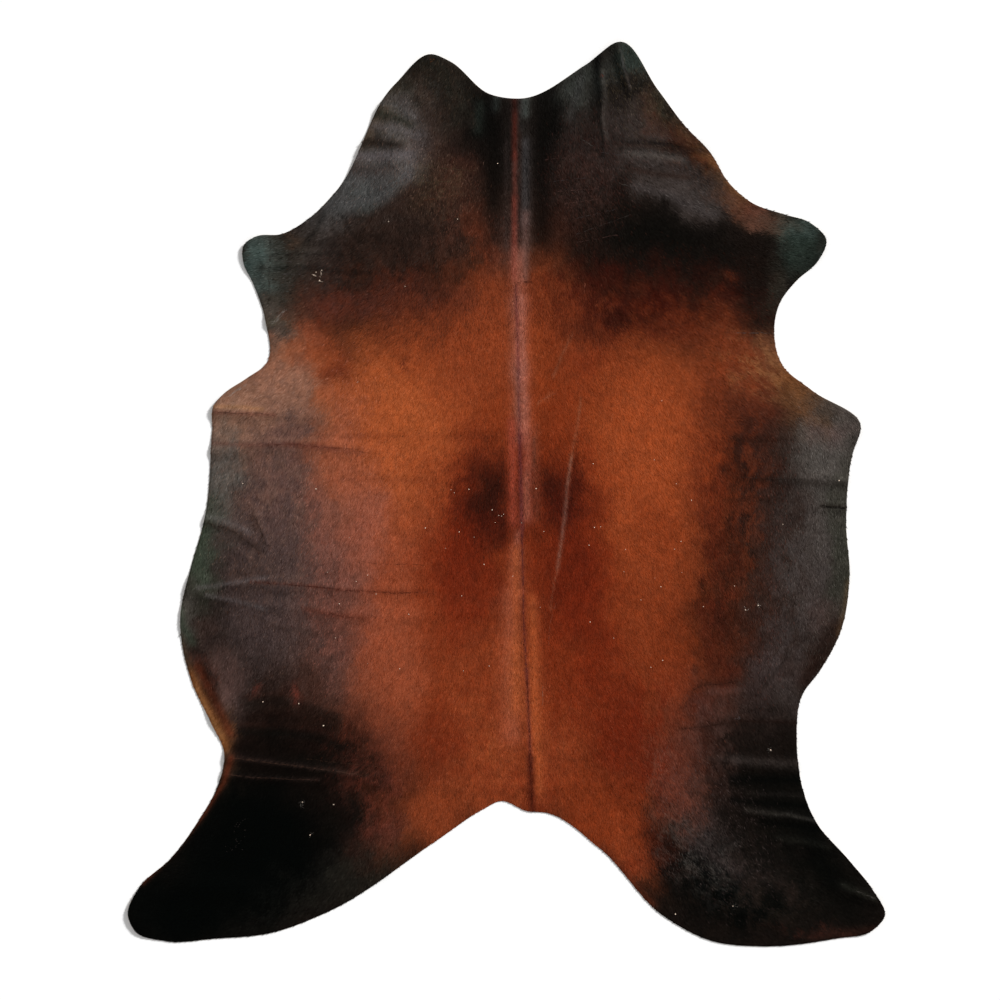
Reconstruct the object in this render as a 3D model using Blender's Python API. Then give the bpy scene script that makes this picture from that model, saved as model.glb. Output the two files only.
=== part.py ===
"""A hair-on cowhide rug: one tanned hide, cut along its own outline and laid flat, hair side up.

Metres, +Z up. The neck points to +Y and the hind legs to -Y. The origin is under the middle of
the hide's box, on the surface that it lies on. The leather lies on that surface wherever no
crease, wave or curled tip lifts it.
"""

import math

import bmesh
import bpy
import numpy as np
from mathutils.geometry import delaunay_2d_cdt

CM = 0.01

HIDE_THICKNESS = 0.0045  # 2 mm of leather and the short coat that lies on it
CUT_EDGE_THICKNESS = 0.0025  # the trimmed edge, where the coat thins out
EDGE_ROUNDING = 0.006  # how far in from the edge the coat reaches its full thickness
FLAT_BELOW = 0.0005  # a lift smaller than this is pressed flat by the hide's own weight

# The net of points that carries the shape.
OUTLINE_STEP = 0.022
CREASE_STEP = 0.038
CREASE_ROWS = (0.0, -0.6, 0.6, -1.4, 1.4)  # rows of net points beside a crease, in half-widths
LATTICE_STEP = 0.065
LEAST_GAP = 0.011
EDGE_CLEARANCE = 0.014
NET_TOLERANCE = 1e-6
INSIDE_LOOP = 1  # the triangulation keeps only the triangles within the edge
CUT_EDGE_ANGLE = math.radians(40)  # the wall of the cut edge is sharper than any crease

# The cut edge, clockwise from the hollow of the neck. Columns: point of the hide, x in cm, y in cm.
NECK_RIGHT = (
    ("nape hollow", 3.5, 98.9),
    ("ear slope", 19.7, 107.2),
    ("ear tip", 28.5, 113.0),
    ("cheek", 38.0, 101.0),
    ("neck side", 44.5, 92.3),
    ("neck bend", 51.0, 85.3),
    ("neck low", 55.7, 77.8),
    ("neck foot", 61.5, 72.8),
)
FORELEG_RIGHT = (
    ("fore paw top", 69.3, 70.0),
    ("fore paw crown", 76.0, 67.8),
    ("fore paw tip", 80.0, 63.3),
    ("fore paw under", 78.0, 58.4),
    ("forearm", 72.2, 53.0),
    ("armpit above", 68.5, 48.0),
    ("armpit below", 69.0, 32.3),
    ("elbow above", 76.5, 25.9),
    ("elbow tip", 88.6, 16.8),
    ("elbow below", 86.7, 10.5),
)
FLANK_RIGHT = (
    ("flank hollow", 85.0, -7.7),
    ("belly", 85.8, -20.2),
    ("flank low", 83.7, -34.0),
    ("stifle above", 78.5, -44.0),
    ("stifle below", 74.0, -50.2),
    ("thigh hollow", 72.6, -61.5),
)
HIND_LEG_RIGHT = (
    ("shank top", 77.5, -82.0),
    ("shank middle", 85.7, -91.5),
    ("shank foot", 92.0, -99.5),
    ("hock tip", 94.6, -105.2),
    ("hock corner", 91.5, -109.0),
    ("sole outer", 82.2, -111.1),
    ("sole middle", 62.7, -113.0),
    ("sole inner", 51.5, -111.7),
    ("inner leg foot", 39.7, -105.7),
    ("inner leg top", 23.0, -88.2),
)
TAIL_ROOT = (
    ("notch right", 9.7, -79.6),
    ("tail root", 5.5, -79.3),
    ("notch crown", -1.5, -76.7),
    ("notch left", -5.5, -78.6),
)
HIND_LEG_LEFT = (
    ("inner leg top", -17.3, -86.5),
    ("inner leg foot", -45.0, -104.6),
    ("sole inner", -59.0, -109.7),
    ("sole middle", -72.8, -111.1),
    ("sole outer", -85.3, -111.7),
    ("hock corner", -92.6, -109.3),
    ("hock tip", -94.5, -105.0),
    ("shank foot", -92.0, -98.7),
    ("shank middle", -83.5, -90.7),
    ("shank top", -76.8, -81.5),
    ("thigh below", -72.0, -72.7),
)
FLANK_LEFT = (
    ("thigh hollow", -70.4, -65.2),
    ("stifle below", -73.8, -57.0),
    ("stifle above", -78.3, -47.7),
    ("belly", -81.4, -30.2),
    ("flank low", -79.0, -19.0),
    ("flank middle", -75.3, -5.7),
    ("flank top", -73.5, 16.0),
)
FORELEG_LEFT = (
    ("elbow tip", -73.0, 22.3),
    ("elbow crown", -70.6, 25.1),
    ("elbow above", -65.0, 28.9),
    ("armpit below", -59.8, 32.9),
    ("armpit above", -60.2, 43.5),
    ("forearm", -63.3, 52.8),
    ("fore paw under", -65.7, 58.0),
    ("fore paw tip", -65.5, 62.3),
    ("fore paw crown", -62.5, 64.4),
    ("fore paw top", -56.3, 65.0),
)
NECK_LEFT = (
    ("neck foot", -49.5, 68.8),
    ("neck low", -42.8, 75.4),
    ("cheek", -27.5, 102.8),
    ("ear tip", -18.5, 109.9),
    ("ear slope", -14.3, 108.3),
    ("nape slope", -3.8, 99.9),
)
CUT_EDGE = (
    *NECK_RIGHT,
    *FORELEG_RIGHT,
    *FLANK_RIGHT,
    *HIND_LEG_RIGHT,
    *TAIL_ROOT,
    *HIND_LEG_LEFT,
    *FLANK_LEFT,
    *FORELEG_LEFT,
    *NECK_LEFT,
)

# Creases that run in from the cut edge and die away, and waves that rise and fall along their
# length. Columns: name, then in cm the two ends (x, y, x, y), how far the middle bows to the
# left of that run, the height and the half-width.
EDGE_CREASES = (
    ("left neck tuck", -36.8, 86.8, -24.5, 87.4, 0.4, 0.55, 1.8),
    ("left cheek tuck", -31.6, 96.4, -22.0, 91.6, 0.4, 0.55, 1.8),
    ("right ear fold", 26.6, 111.6, 31.4, 98.0, 0.6, 0.65, 1.6),
    ("right nape fold", 23.2, 108.6, 23.4, 79.0, -0.6, 0.80, 1.9),
    ("right poll fold", 19.8, 106.4, 15.6, 85.0, 0.6, 0.60, 1.8),
    ("right neck upper", 48.8, 86.2, 24.0, 89.0, -0.9, 0.70, 1.7),
    ("right neck middle", 51.0, 82.4, 24.0, 84.6, 0.7, 0.60, 1.7),
    ("left fore leg upper", -63.4, 59.4, -42.0, 59.0, 0.3, 0.50, 1.5),
    ("left fore leg lower", -63.0, 56.8, -33.0, 55.6, 0.4, 0.55, 1.6),
    ("left armpit tuck", -60.2, 42.6, -52.6, 48.2, 0.7, 0.60, 1.6),
    ("right fore leg fold", 77.4, 59.6, 56.0, 56.6, -0.8, 0.50, 2.0),
    ("left shoulder upper", -72.6, 20.9, -46.0, 18.6, 0.3, 0.75, 1.8),
    ("left shoulder lower", -72.8, 10.8, -27.0, 9.2, 1.9, 0.80, 2.1),
    ("left flank bend", -75.2, -6.4, -58.8, -15.4, 1.2, 0.80, 1.7),
    ("left flank long", -78.8, -22.2, -14.0, -25.0, 0.4, 0.75, 1.9),
    ("left flank low", -79.4, -24.4, -32.0, -30.8, -0.6, 0.65, 1.7),
    ("left groin arc", -72.0, -55.0, -39.0, -55.6, 1.4, 0.55, 1.8),
    ("left thigh upper", -70.2, -66.2, -24.0, -72.6, 0.5, 0.80, 1.7),
    ("left thigh lower", -71.0, -70.2, -27.0, -73.0, 0.1, 0.65, 1.5),
    ("right elbow fold", 85.6, 3.0, 56.0, 4.6, -0.4, 0.75, 1.8),
    ("right flank pinch", 84.8, -3.4, 75.0, -3.0, 0.1, 0.80, 1.3),
    ("right groin line", 73.4, -56.0, 46.0, -56.8, 0.2, 0.50, 1.6),
    ("right thigh fold", 73.0, -68.2, 51.0, -67.2, 0.4, 0.75, 1.8),
    ("right shank upper", 77.4, -81.2, 57.0, -79.2, 0.4, 0.65, 1.6),
    ("right shank lower", 82.0, -88.2, 59.0, -85.6, 0.6, 0.55, 1.8),
    ("right hock fold", 93.0, -101.4, 79.0, -98.2, 0.5, 0.70, 1.6),
)
WAVES = (
    ("backbone neck", 1.8, 104.0, 3.4, 12.0, 0.0, 0.40, 2.2),
    ("backbone loin", 3.0, 24.0, 6.0, -88.0, 0.3, 0.36, 2.0),
    ("left neck wave", -36.0, 101.0, -37.0, 68.0, 8.0, 0.95, 3.2),
    ("left poll wave", -25.5, 105.0, -17.0, 78.0, 1.5, 0.60, 3.0),
    ("right neck lower", 22.0, 81.0, 60.0, 71.5, -1.8, 0.70, 2.4),
    ("left fore paw hem", -60.0, 66.5, -59.0, 46.0, -1.0, 0.50, 1.6),
    ("left flank nick", -64.0, -1.0, -58.6, -15.0, -0.4, 0.45, 1.4),
    ("belly line", -46.0, -30.6, 20.0, -28.0, -0.8, 0.35, 2.0),
    ("shoulder line", -34.0, 15.0, 34.0, 13.6, 0.8, 0.25, 2.2),
    ("rump line", -36.0, -73.2, 46.0, -72.0, -0.6, 0.30, 2.0),
    ("left stifle hem", -80.4, -31.0, -68.2, -63.0, 1.4, 0.75, 1.7),
    ("right stifle tuck", 61.0, -53.0, 72.2, -37.4, 0.4, 0.60, 1.8),
    ("left leg wave", -32.0, -79.0, -35.0, -101.0, 2.4, 0.80, 4.0),
    ("left hock wave", -90.0, -99.0, -56.0, -101.5, 1.6, 0.65, 3.2),
    ("right leg wave", 48.0, -82.0, 64.0, -110.0, -2.0, 0.80, 4.0),
)

# Edges and tips that curl off the surface. Columns: name, x, y, reach and height, all in cm.
CURLED_TIPS = (
    ("left ear", -19.0, 110.0, 5.5, 0.90),
    ("right ear", 28.5, 113.0, 6.0, 1.00),
    ("left neck edge", -37.5, 84.0, 5.0, 0.70),
    ("right neck edge", 51.0, 85.3, 5.5, 0.60),
    ("left fore paw", -65.8, 62.0, 5.5, 0.80),
    ("right fore paw", 80.0, 63.5, 6.0, 0.80),
    ("left elbow", -73.0, 22.5, 4.0, 0.50),
    ("right elbow", 88.6, 16.5, 5.5, 0.70),
    ("left belly", -81.4, -31.0, 4.5, 0.50),
    ("right belly", 85.8, -20.0, 4.5, 0.45),
    ("left stifle", -73.8, -57.0, 4.0, 0.40),
    ("right thigh", 72.6, -62.0, 4.0, 0.40),
    ("left hock", -94.5, -105.5, 6.5, 0.85),
    ("right hock", 94.6, -105.2, 6.5, 0.90),
)

HAIR_COLOUR = (0.115, 0.036, 0.016, 1.0)
FLESH_COLOUR = (0.40, 0.30, 0.20, 1.0)


def clear_scene():
    for old in list(bpy.data.objects):
        bpy.data.objects.remove(old, do_unlink=True)


def cut_edge():
    """The closed edge as points a step apart: a cubic curve through the points of CUT_EDGE.

    The curve's direction at each point is the mean of the two neighbouring chords, the nearer
    one weighing more, so that it runs smoothly from leg to flank.
    """
    corner = np.array([row[1:] for row in CUT_EDGE]) * CM
    following = np.roll(corner, -1, axis=0)
    chord = np.hypot(*(following - corner).T)[:, None]
    slope = (following - corner) / chord
    chord_before = np.roll(chord, 1, axis=0)
    slope_before = np.roll(slope, 1, axis=0)
    tangent = (chord_before * slope + chord * slope_before) / (chord_before + chord)
    tangent_next = np.roll(tangent, -1, axis=0)
    runs = []
    for index, length in enumerate(chord[:, 0]):
        count = max(1, round(length / OUTLINE_STEP))
        t = (np.arange(count) / count)[:, None]
        runs.append(
            (2 * t**3 - 3 * t**2 + 1) * corner[index]
            + (t**3 - 2 * t**2 + t) * length * tangent[index]
            + (3 * t**2 - 2 * t**3) * following[index]
            + (t**3 - t**2) * length * tangent_next[index]
        )
    return np.concatenate(runs)


def inward(edge):
    """Unit vectors that point from each point of the clockwise edge into the hide."""
    along = np.roll(edge, -1, axis=0) - np.roll(edge, 1, axis=0)
    return np.column_stack([along[:, 1], -along[:, 0]]) / np.hypot(*along.T)[:, None]


def line_distance(points, line):
    """The distance from each point to the nearest stretch of an open line."""
    start = line[None, :-1]
    stretch = line[None, 1:] - start
    offset = points[:, None] - start
    share = np.clip((offset * stretch).sum(axis=2) / (stretch**2).sum(axis=2), 0, 1)
    return np.linalg.norm(offset - share[..., None] * stretch, axis=2).min(axis=1)


def edge_distance(points, edge):
    """The distance from each point to the closed edge."""
    return line_distance(points, np.vstack([edge, edge[:1]]))


def inside(points, edge):
    """Whether each point lies within the edge: a ray to +X crosses it an odd number of times."""
    x, y = points[:, :1], points[:, 1:]
    x0, y0 = edge.T
    x1, y1 = np.roll(edge, -1, axis=0).T
    spans = (y0 > y) != (y1 > y)
    crossing = x0 + (y - y0) * (x1 - x0) / np.where(y1 == y0, 1.0, y1 - y0)
    return (spans & (crossing > x)).sum(axis=1) % 2 == 1


def crease_line(row):
    """A crease's points a step apart, bowed as a parabola, and the direction to its left."""
    start = np.array(row[1:3]) * CM
    end = np.array(row[3:5]) * CM
    length = math.dist(start, end)
    direction = (end - start) / length
    left = np.array([-direction[1], direction[0]])
    t = np.linspace(0, 1, max(4, round(length / CREASE_STEP) + 1))[:, None]
    return start + t * (end - start) + 4 * row[5] * CM * t * (1 - t) * left, left


def run_share(points, row):
    """How far along a crease's chord each point lies, from 0 at its first end to 1."""
    start = np.array(row[1:3]) * CM
    chord = np.array(row[3:5]) * CM - start
    return np.clip((points - start) @ chord / (chord @ chord), 0, 1)


def lift(points):
    """How far the leather stands off the surface: bells across each crease and curled tip."""
    height = np.zeros(len(points))
    for row in (*EDGE_CREASES, *WAVES):
        line, _ = crease_line(row)
        t = run_share(points, row)
        swell = 1 - t**2 if row in EDGE_CREASES else 4 * t * (1 - t)
        bell = np.exp(-((line_distance(points, line) / (row[7] * CM)) ** 2))
        height = height + row[6] * CM * swell * bell
    for _, x, y, reach, rise in CURLED_TIPS:
        away = np.hypot(points[:, 0] - x * CM, points[:, 1] - y * CM)
        height = height + rise * CM * np.exp(-((away / (reach * CM)) ** 2))
    return np.maximum(height - FLAT_BELOW, 0.0)


def spaced(points):
    """The points in order, without any that lies closer than LEAST_GAP to one before it."""
    kept = points[:1]
    for point in points[1:]:
        if np.hypot(*(kept - point).T).min() >= LEAST_GAP:
            kept = np.vstack([kept, point])
    return kept


def inner_points(edge):
    """Points of the net away from the edge: rows along each crease, then a loose lattice."""
    rows = []
    for row in (*EDGE_CREASES, *WAVES):
        line, left = crease_line(row)
        for share in CREASE_ROWS:
            rows.append(line + share * row[7] * CM * left)
    low, high = edge.min(axis=0), edge.max(axis=0)
    across = np.arange(low[0], high[0], LATTICE_STEP)
    along = np.arange(low[1], high[1], LATTICE_STEP * math.sqrt(0.75))
    x, y = np.meshgrid(across, along)
    x = x + (np.arange(len(along)) % 2)[:, None] * LATTICE_STEP / 2
    points = np.vstack([*rows, np.column_stack([x.ravel(), y.ravel()])])
    points = points[inside(points, edge)]
    points = points[edge_distance(points, edge) > EDGE_CLEARANCE]
    return spaced(points)


def make_material(name, colour, roughness, sheen):
    material = bpy.data.materials.new(name)
    material.use_nodes = True
    shader = material.node_tree.nodes["Principled BSDF"]
    shader.inputs["Base Color"].default_value = colour
    shader.inputs["Roughness"].default_value = roughness
    shader.inputs["Metallic"].default_value = 0.0
    shader.inputs["Sheen Weight"].default_value = sheen
    return material


def make_leather(edge):
    """The leather's underside as an open net: the edge, a ring inside it and the inner points."""
    ring = edge + EDGE_ROUNDING * inward(edge)
    points = np.vstack([edge, ring, inner_points(edge)])
    loop = list(range(len(edge)))
    net = delaunay_2d_cdt(
        [tuple(point) for point in points], [], [loop], INSIDE_LOOP, NET_TOLERANCE
    )
    flat = np.array([tuple(point) for point in net[0]])
    shape = bmesh.new()
    corners = [shape.verts.new((x, y, z)) for (x, y), z in zip(flat, lift(flat))]
    for face in net[2]:
        shape.faces.new([corners[index] for index in face])
    return shape


def thicken(shape, edge):
    """Extrudes the net upwards to the top of the coat, which thins out at the cut edge."""
    extruded = bmesh.ops.extrude_face_region(shape, geom=shape.faces[:], use_keep_orig=True)
    raised = [item for item in extruded["geom"] if isinstance(item, bmesh.types.BMVert)]
    places = np.array([tuple(vertex.co)[:2] for vertex in raised])
    share = np.clip(edge_distance(places, edge) / EDGE_ROUNDING, 0, 1)
    rise = CUT_EDGE_THICKNESS + (HIDE_THICKNESS - CUT_EDGE_THICKNESS) * share
    for vertex, amount in zip(raised, rise):
        vertex.co.z += amount
    bmesh.ops.recalc_face_normals(shape, faces=shape.faces[:])


def make_hide():
    edge = cut_edge()
    middle = (edge.min(axis=0) + edge.max(axis=0)) / 2
    shape = make_leather(edge)
    thicken(shape, edge)
    bmesh.ops.translate(shape, vec=(-middle[0], -middle[1], 0.0), verts=shape.verts[:])
    for face in shape.faces:
        face.smooth = True
        face.material_index = int(face.normal.z < 0)
    mesh = bpy.data.meshes.new("hide")
    shape.to_mesh(mesh)
    shape.free()
    mesh.set_sharp_from_angle(angle=CUT_EDGE_ANGLE)
    mesh.materials.append(make_material("cattle hair", HAIR_COLOUR, 0.55, 0.3))
    mesh.materials.append(make_material("flesh side suede", FLESH_COLOUR, 0.9, 0.1))
    hide = bpy.data.objects.new("hide", mesh)
    bpy.context.scene.collection.objects.link(hide)


clear_scene()
make_hide()
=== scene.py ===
"""The looks of a hair-on cowhide rug: its leather, its short coat and the light it lies in.

Metres, +Z up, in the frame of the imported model. The tables are in centimetres on the hide's own
plan, where the backbone runs up +Y to the neck and the left is -X. FRAME_SHIFT takes that plan
to the frame.
"""

import math

import bpy
import numpy as np
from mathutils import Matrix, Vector


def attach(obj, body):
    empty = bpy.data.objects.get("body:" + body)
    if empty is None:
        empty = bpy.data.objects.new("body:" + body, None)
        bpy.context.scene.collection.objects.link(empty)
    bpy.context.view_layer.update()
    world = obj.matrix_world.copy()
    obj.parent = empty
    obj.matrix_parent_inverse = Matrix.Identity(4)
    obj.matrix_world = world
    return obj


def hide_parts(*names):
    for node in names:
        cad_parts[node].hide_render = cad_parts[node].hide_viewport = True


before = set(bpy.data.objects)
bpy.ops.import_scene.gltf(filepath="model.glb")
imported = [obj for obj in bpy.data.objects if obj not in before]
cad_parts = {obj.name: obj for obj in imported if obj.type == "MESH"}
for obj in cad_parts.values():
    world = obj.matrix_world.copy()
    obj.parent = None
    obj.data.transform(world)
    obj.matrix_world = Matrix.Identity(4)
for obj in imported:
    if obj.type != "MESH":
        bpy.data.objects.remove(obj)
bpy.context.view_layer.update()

CM = 0.01
MM = 0.001

# The leather.
LEATHER = 2.6 * MM  # skin and the dense undercoat on it
CUT_EDGE_LEATHER = 2.0 * MM  # the same at the cut edge
EDGE_ROUNDING = 6 * MM  # how far in from the cut edge the leather has its full thickness
FLAT_BELOW = 0.5 * MM  # what its own weight takes off every rise
PLAN_MIDDLE = np.array([5.0, -8.0]) * CM  # where the rays of the grid start
EDGE_STEPS = 40  # points on the curve from one point of CUT_EDGE to the next
HAIR_SIDE_CELLS = 240  # along each side of the square grid that is bent into the hide
FLESH_SIDE_CELLS = 120
HAIR_MAP_SCALE = 0.36  # the size in the leather's map of a metre of its hair side
FLESH_MAP_SCALE = 0.155
BAKE_WALL = 10 * MM  # how far outside the rim the map draws the foot of the wall
RAY_ACROSS = 0.98  # the grid's rays run out as x^across and y^along, so that each one
RAY_ALONG = 0.73  # meets the cut edge from inside, down to the hocks and the fore paws

# The coat, in locks of a few dozen hairs each.
LOCKS = 194_000
LOCK_SEED = 7
LOCK_LENGTH = (8 * MM, 14 * MM)
LOCK_WIDTH = (1.3 * MM, 2.3 * MM)
LOCK_LOFT = (0.4 * MM, 0.9 * MM)  # how high a lock's tip stands off the skin
LOCK_BELLY = 0.38  # the share of a lock's length at which it is widest
LOCK_RISE = 0.12 * MM  # how high its belly lies on the undercoat
LOCK_POINTS = 4  # root, left and right of the belly, tip
ROOT_DEPTH = 0.1 * MM  # how deep its root stands in the undercoat
ROOT_PAINTED_SHADE = 0.93  # painted self-shade: a lock is painted darker at its root and lighter at its tip, as shares of its colour
BELLY_PAINTED_SHADE = 0.97
TIP_PAINTED_LIGHT = 1.04
TIP_OVERHANG = 1.5 * MM  # how far a lock may reach over the cut edge
SHORTENINGS = 4  # how often a lock that reaches further is shortened,
SHORTENING = 1.1  # by how many times the excess,
SHORTEST = 0.3  # though each time to no less than this share of its length
ROOT_CLEARANCE = 1 * MM  # how far in from the edge the first roots stand
LAY_SPREAD = math.radians(11)
LAY_DRIFT = math.radians(12)  # how far neighbouring locks turn off the lay together
DRIFT_SIZE = 3 * CM
DRIFT_SEED = 40
LOCK_SHADE = 0.18  # how far a lock's lightness strays from its neighbours'
SHADE_LIMIT = 2.5  # and how many times that at the most
GREY_SHADE = 0.14  # what is added where the hair is grey
DIM_SHADE = 0.2  # what is added where the coat is dim but not black
DIM_SHADE_TOP = 0.04  # the brightness, in linear light, at which that is down to a third
DIM_SHADE_FOOT = 0.006  # and the brightness below which it fades again
SHADE_GREYNESS = 0.75  # how much of a lock's shade is grey light, the rest its own colour

# The hairs of the lines, and the lint.
LINE_SEED = 11
LINE_HAIRS = 200_000  # hairs to the square metre of a line's half-width times its length
FEWEST_LINE_HAIRS = 8
LINE_HAIR_LENGTH = (7 * MM, 12 * MM)
LINE_HAIR_WIDTH = (0.8 * MM, 1.3 * MM)
LINE_HAIR_LOFT = (1.0 * MM, 1.4 * MM)
LINE_HAIR_BEND = 0.1  # radians
LINE_LOOK = 1 * CM  # how far ahead and behind the direction of a line is read
SPECK_LENGTH = 1.3  # in widths
LINT_LENGTH = (3.0 * MM, 6.0 * MM)  # a hair of a tuft of lint
LINT_WIDTH = (0.8 * MM, 1.4 * MM)
LINT_COVER = (0.4, 0.9)
LINT_SPREAD = 0.6  # how closely a tuft's hairs gather, as a share of its half sizes

# The cut edge, clockwise from the hollow of the neck. Columns: point of the hide, x, y.
CUT_EDGE = (
    ("nape hollow", 3.5, 98.9),
    ("ear slope", 19.7, 107.2),
    ("ear tip", 28.5, 113.0),
    ("cheek", 38.0, 101.0),
    ("neck side", 44.5, 92.3),
    ("neck bend", 51.0, 85.3),
    ("neck low", 55.7, 77.8),
    ("neck foot", 61.5, 72.8),
    ("fore paw top", 69.3, 70.0),
    ("fore paw crown", 76.0, 67.8),
    ("fore paw tip", 80.0, 63.3),
    ("fore paw under", 78.0, 58.4),
    ("forearm", 72.2, 53.0),
    ("armpit above", 68.5, 48.0),
    ("armpit below", 69.0, 32.3),
    ("elbow above", 76.5, 25.9),
    ("elbow tip", 88.6, 16.8),
    ("elbow below", 86.7, 10.5),
    ("flank hollow", 85.0, -7.7),
    ("belly", 85.8, -20.2),
    ("flank low", 83.7, -34.0),
    ("stifle above", 78.5, -44.0),
    ("stifle below", 74.0, -50.2),
    ("thigh hollow", 72.6, -61.5),
    ("shank top", 77.5, -82.0),
    ("shank middle", 85.7, -91.5),
    ("shank foot", 92.0, -99.5),
    ("hock tip", 94.6, -105.2),
    ("hock corner", 91.5, -109.0),
    ("sole outer", 82.2, -111.1),
    ("sole middle", 62.7, -113.0),
    ("sole inner", 51.5, -111.7),
    ("inner leg foot", 39.7, -105.7),
    ("inner leg top", 23.0, -88.2),
    ("notch right", 9.7, -79.6),
    ("tail root", 5.5, -79.3),
    ("notch crown", -1.5, -76.7),
    ("notch left", -5.5, -78.6),
    ("inner leg top", -17.3, -86.5),
    ("inner leg foot", -45.0, -104.6),
    ("sole inner", -59.0, -109.7),
    ("sole middle", -72.8, -111.1),
    ("sole outer", -85.3, -111.7),
    ("hock corner", -92.6, -109.3),
    ("hock tip", -94.5, -105.0),
    ("shank foot", -92.0, -98.7),
    ("shank middle", -83.5, -90.7),
    ("shank top", -76.8, -81.5),
    ("thigh below", -72.0, -72.7),
    ("thigh hollow", -70.4, -65.2),
    ("stifle below", -73.8, -57.0),
    ("stifle above", -78.3, -47.7),
    ("belly", -81.4, -30.2),
    ("flank low", -79.0, -19.0),
    ("flank middle", -75.3, -5.7),
    ("flank top", -73.5, 16.0),
    ("elbow tip", -73.0, 22.3),
    ("elbow crown", -70.6, 25.1),
    ("elbow above", -65.0, 28.9),
    ("armpit below", -59.8, 32.9),
    ("armpit above", -60.2, 43.5),
    ("forearm", -63.3, 52.8),
    ("fore paw under", -65.7, 58.0),
    ("fore paw tip", -65.5, 62.3),
    ("fore paw crown", -62.5, 64.4),
    ("fore paw top", -56.3, 65.0),
    ("neck foot", -49.5, 68.8),
    ("neck low", -42.8, 75.4),
    ("cheek", -27.5, 102.8),
    ("ear tip", -18.5, 109.9),
    ("ear slope", -14.3, 108.3),
    ("nape slope", -3.8, 99.9),
)

# Creases that run in from the cut edge and die away, and waves that rise and fall along their
# length. Columns: name, the two ends (x, y, x, y), how far the middle bows to the left of that
# run, the height and the half-width.
EDGE_CREASES = (
    ("left neck tuck", -36.8, 86.8, -24.5, 87.4, 0.4, 0.55, 1.8),
    ("left cheek tuck", -31.6, 96.4, -22.0, 91.6, 0.4, 0.55, 1.8),
    ("right ear fold", 26.6, 111.6, 31.4, 98.0, 0.6, 0.65, 1.6),
    ("right nape fold", 23.2, 108.6, 23.4, 79.0, -0.6, 0.80, 1.9),
    ("right poll fold", 19.8, 106.4, 15.6, 85.0, 0.6, 0.60, 1.8),
    ("right neck upper", 48.8, 86.2, 24.0, 89.0, -0.9, 0.70, 1.7),
    ("right neck middle", 51.0, 82.4, 24.0, 84.6, 0.7, 0.60, 1.7),
    ("left fore leg upper", -63.4, 59.4, -42.0, 59.0, 0.3, 0.50, 1.5),
    ("left fore leg lower", -63.0, 56.8, -33.0, 55.6, 0.4, 0.55, 1.6),
    ("left armpit tuck", -60.2, 42.6, -52.6, 48.2, 0.7, 0.60, 1.6),
    ("right fore leg fold", 77.4, 59.6, 56.0, 56.6, -0.8, 0.50, 2.0),
    ("left shoulder upper", -72.6, 20.9, -46.0, 18.6, 0.3, 0.75, 1.8),
    ("left shoulder lower", -72.8, 10.8, -27.0, 9.2, 1.9, 0.80, 2.1),
    ("left flank bend", -75.2, -6.4, -58.8, -15.4, 1.2, 0.80, 1.7),
    ("left flank long", -78.8, -22.2, -14.0, -25.0, 0.4, 0.75, 1.9),
    ("left flank low", -79.4, -24.4, -32.0, -30.8, -0.6, 0.65, 1.7),
    ("left groin arc", -72.0, -55.0, -39.0, -55.6, 1.4, 0.55, 1.8),
    ("left thigh upper", -70.2, -66.2, -24.0, -72.6, 0.5, 0.80, 1.7),
    ("left thigh lower", -71.0, -70.2, -27.0, -73.0, 0.1, 0.65, 1.5),
    ("right elbow fold", 85.6, 3.0, 56.0, 4.6, -0.4, 0.75, 1.8),
    ("right flank pinch", 84.8, -3.4, 75.0, -3.0, 0.1, 0.80, 1.3),
    ("right groin line", 73.4, -56.0, 46.0, -56.8, 0.2, 0.50, 1.6),
    ("right thigh fold", 73.0, -68.2, 51.0, -67.2, 0.4, 0.75, 1.8),
    ("right shank upper", 77.4, -81.2, 57.0, -79.2, 0.4, 0.65, 1.6),
    ("right shank lower", 82.0, -88.2, 59.0, -85.6, 0.6, 0.55, 1.8),
    ("right hock fold", 93.0, -101.4, 79.0, -98.2, 0.5, 0.70, 1.6),
)
WAVES = (
    ("backbone neck", 1.8, 104.0, 3.4, 12.0, 0.0, 0.40, 2.2),
    ("backbone loin", 3.0, 24.0, 6.0, -88.0, 0.3, 0.36, 2.0),
    ("left neck wave", -36.0, 101.0, -37.0, 68.0, 8.0, 0.95, 3.2),
    ("left poll wave", -25.5, 105.0, -17.0, 78.0, 1.5, 0.60, 3.0),
    ("right neck lower", 22.0, 81.0, 60.0, 71.5, -1.8, 0.70, 2.4),
    ("left fore paw hem", -60.0, 66.5, -59.0, 46.0, -1.0, 0.50, 1.6),
    ("left flank nick", -64.0, -1.0, -58.6, -15.0, -0.4, 0.45, 1.4),
    ("belly line", -46.0, -30.6, 20.0, -28.0, -0.8, 0.35, 2.0),
    ("shoulder line", -34.0, 15.0, 34.0, 13.6, 0.8, 0.25, 2.2),
    ("rump line", -36.0, -73.2, 46.0, -72.0, -0.6, 0.30, 2.0),
    ("left stifle hem", -80.4, -31.0, -68.2, -63.0, 1.4, 0.75, 1.7),
    ("right stifle tuck", 61.0, -53.0, 72.2, -37.4, 0.4, 0.60, 1.8),
    ("left leg wave", -32.0, -79.0, -35.0, -101.0, 2.4, 0.80, 4.0),
    ("left hock wave", -90.0, -99.0, -56.0, -101.5, 1.6, 0.65, 3.2),
    ("right leg wave", 48.0, -82.0, 64.0, -110.0, -2.0, 0.80, 4.0),
)
CREASE_STEP = 3.8 * CM
FEWEST_CREASE_POINTS = 4

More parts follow.
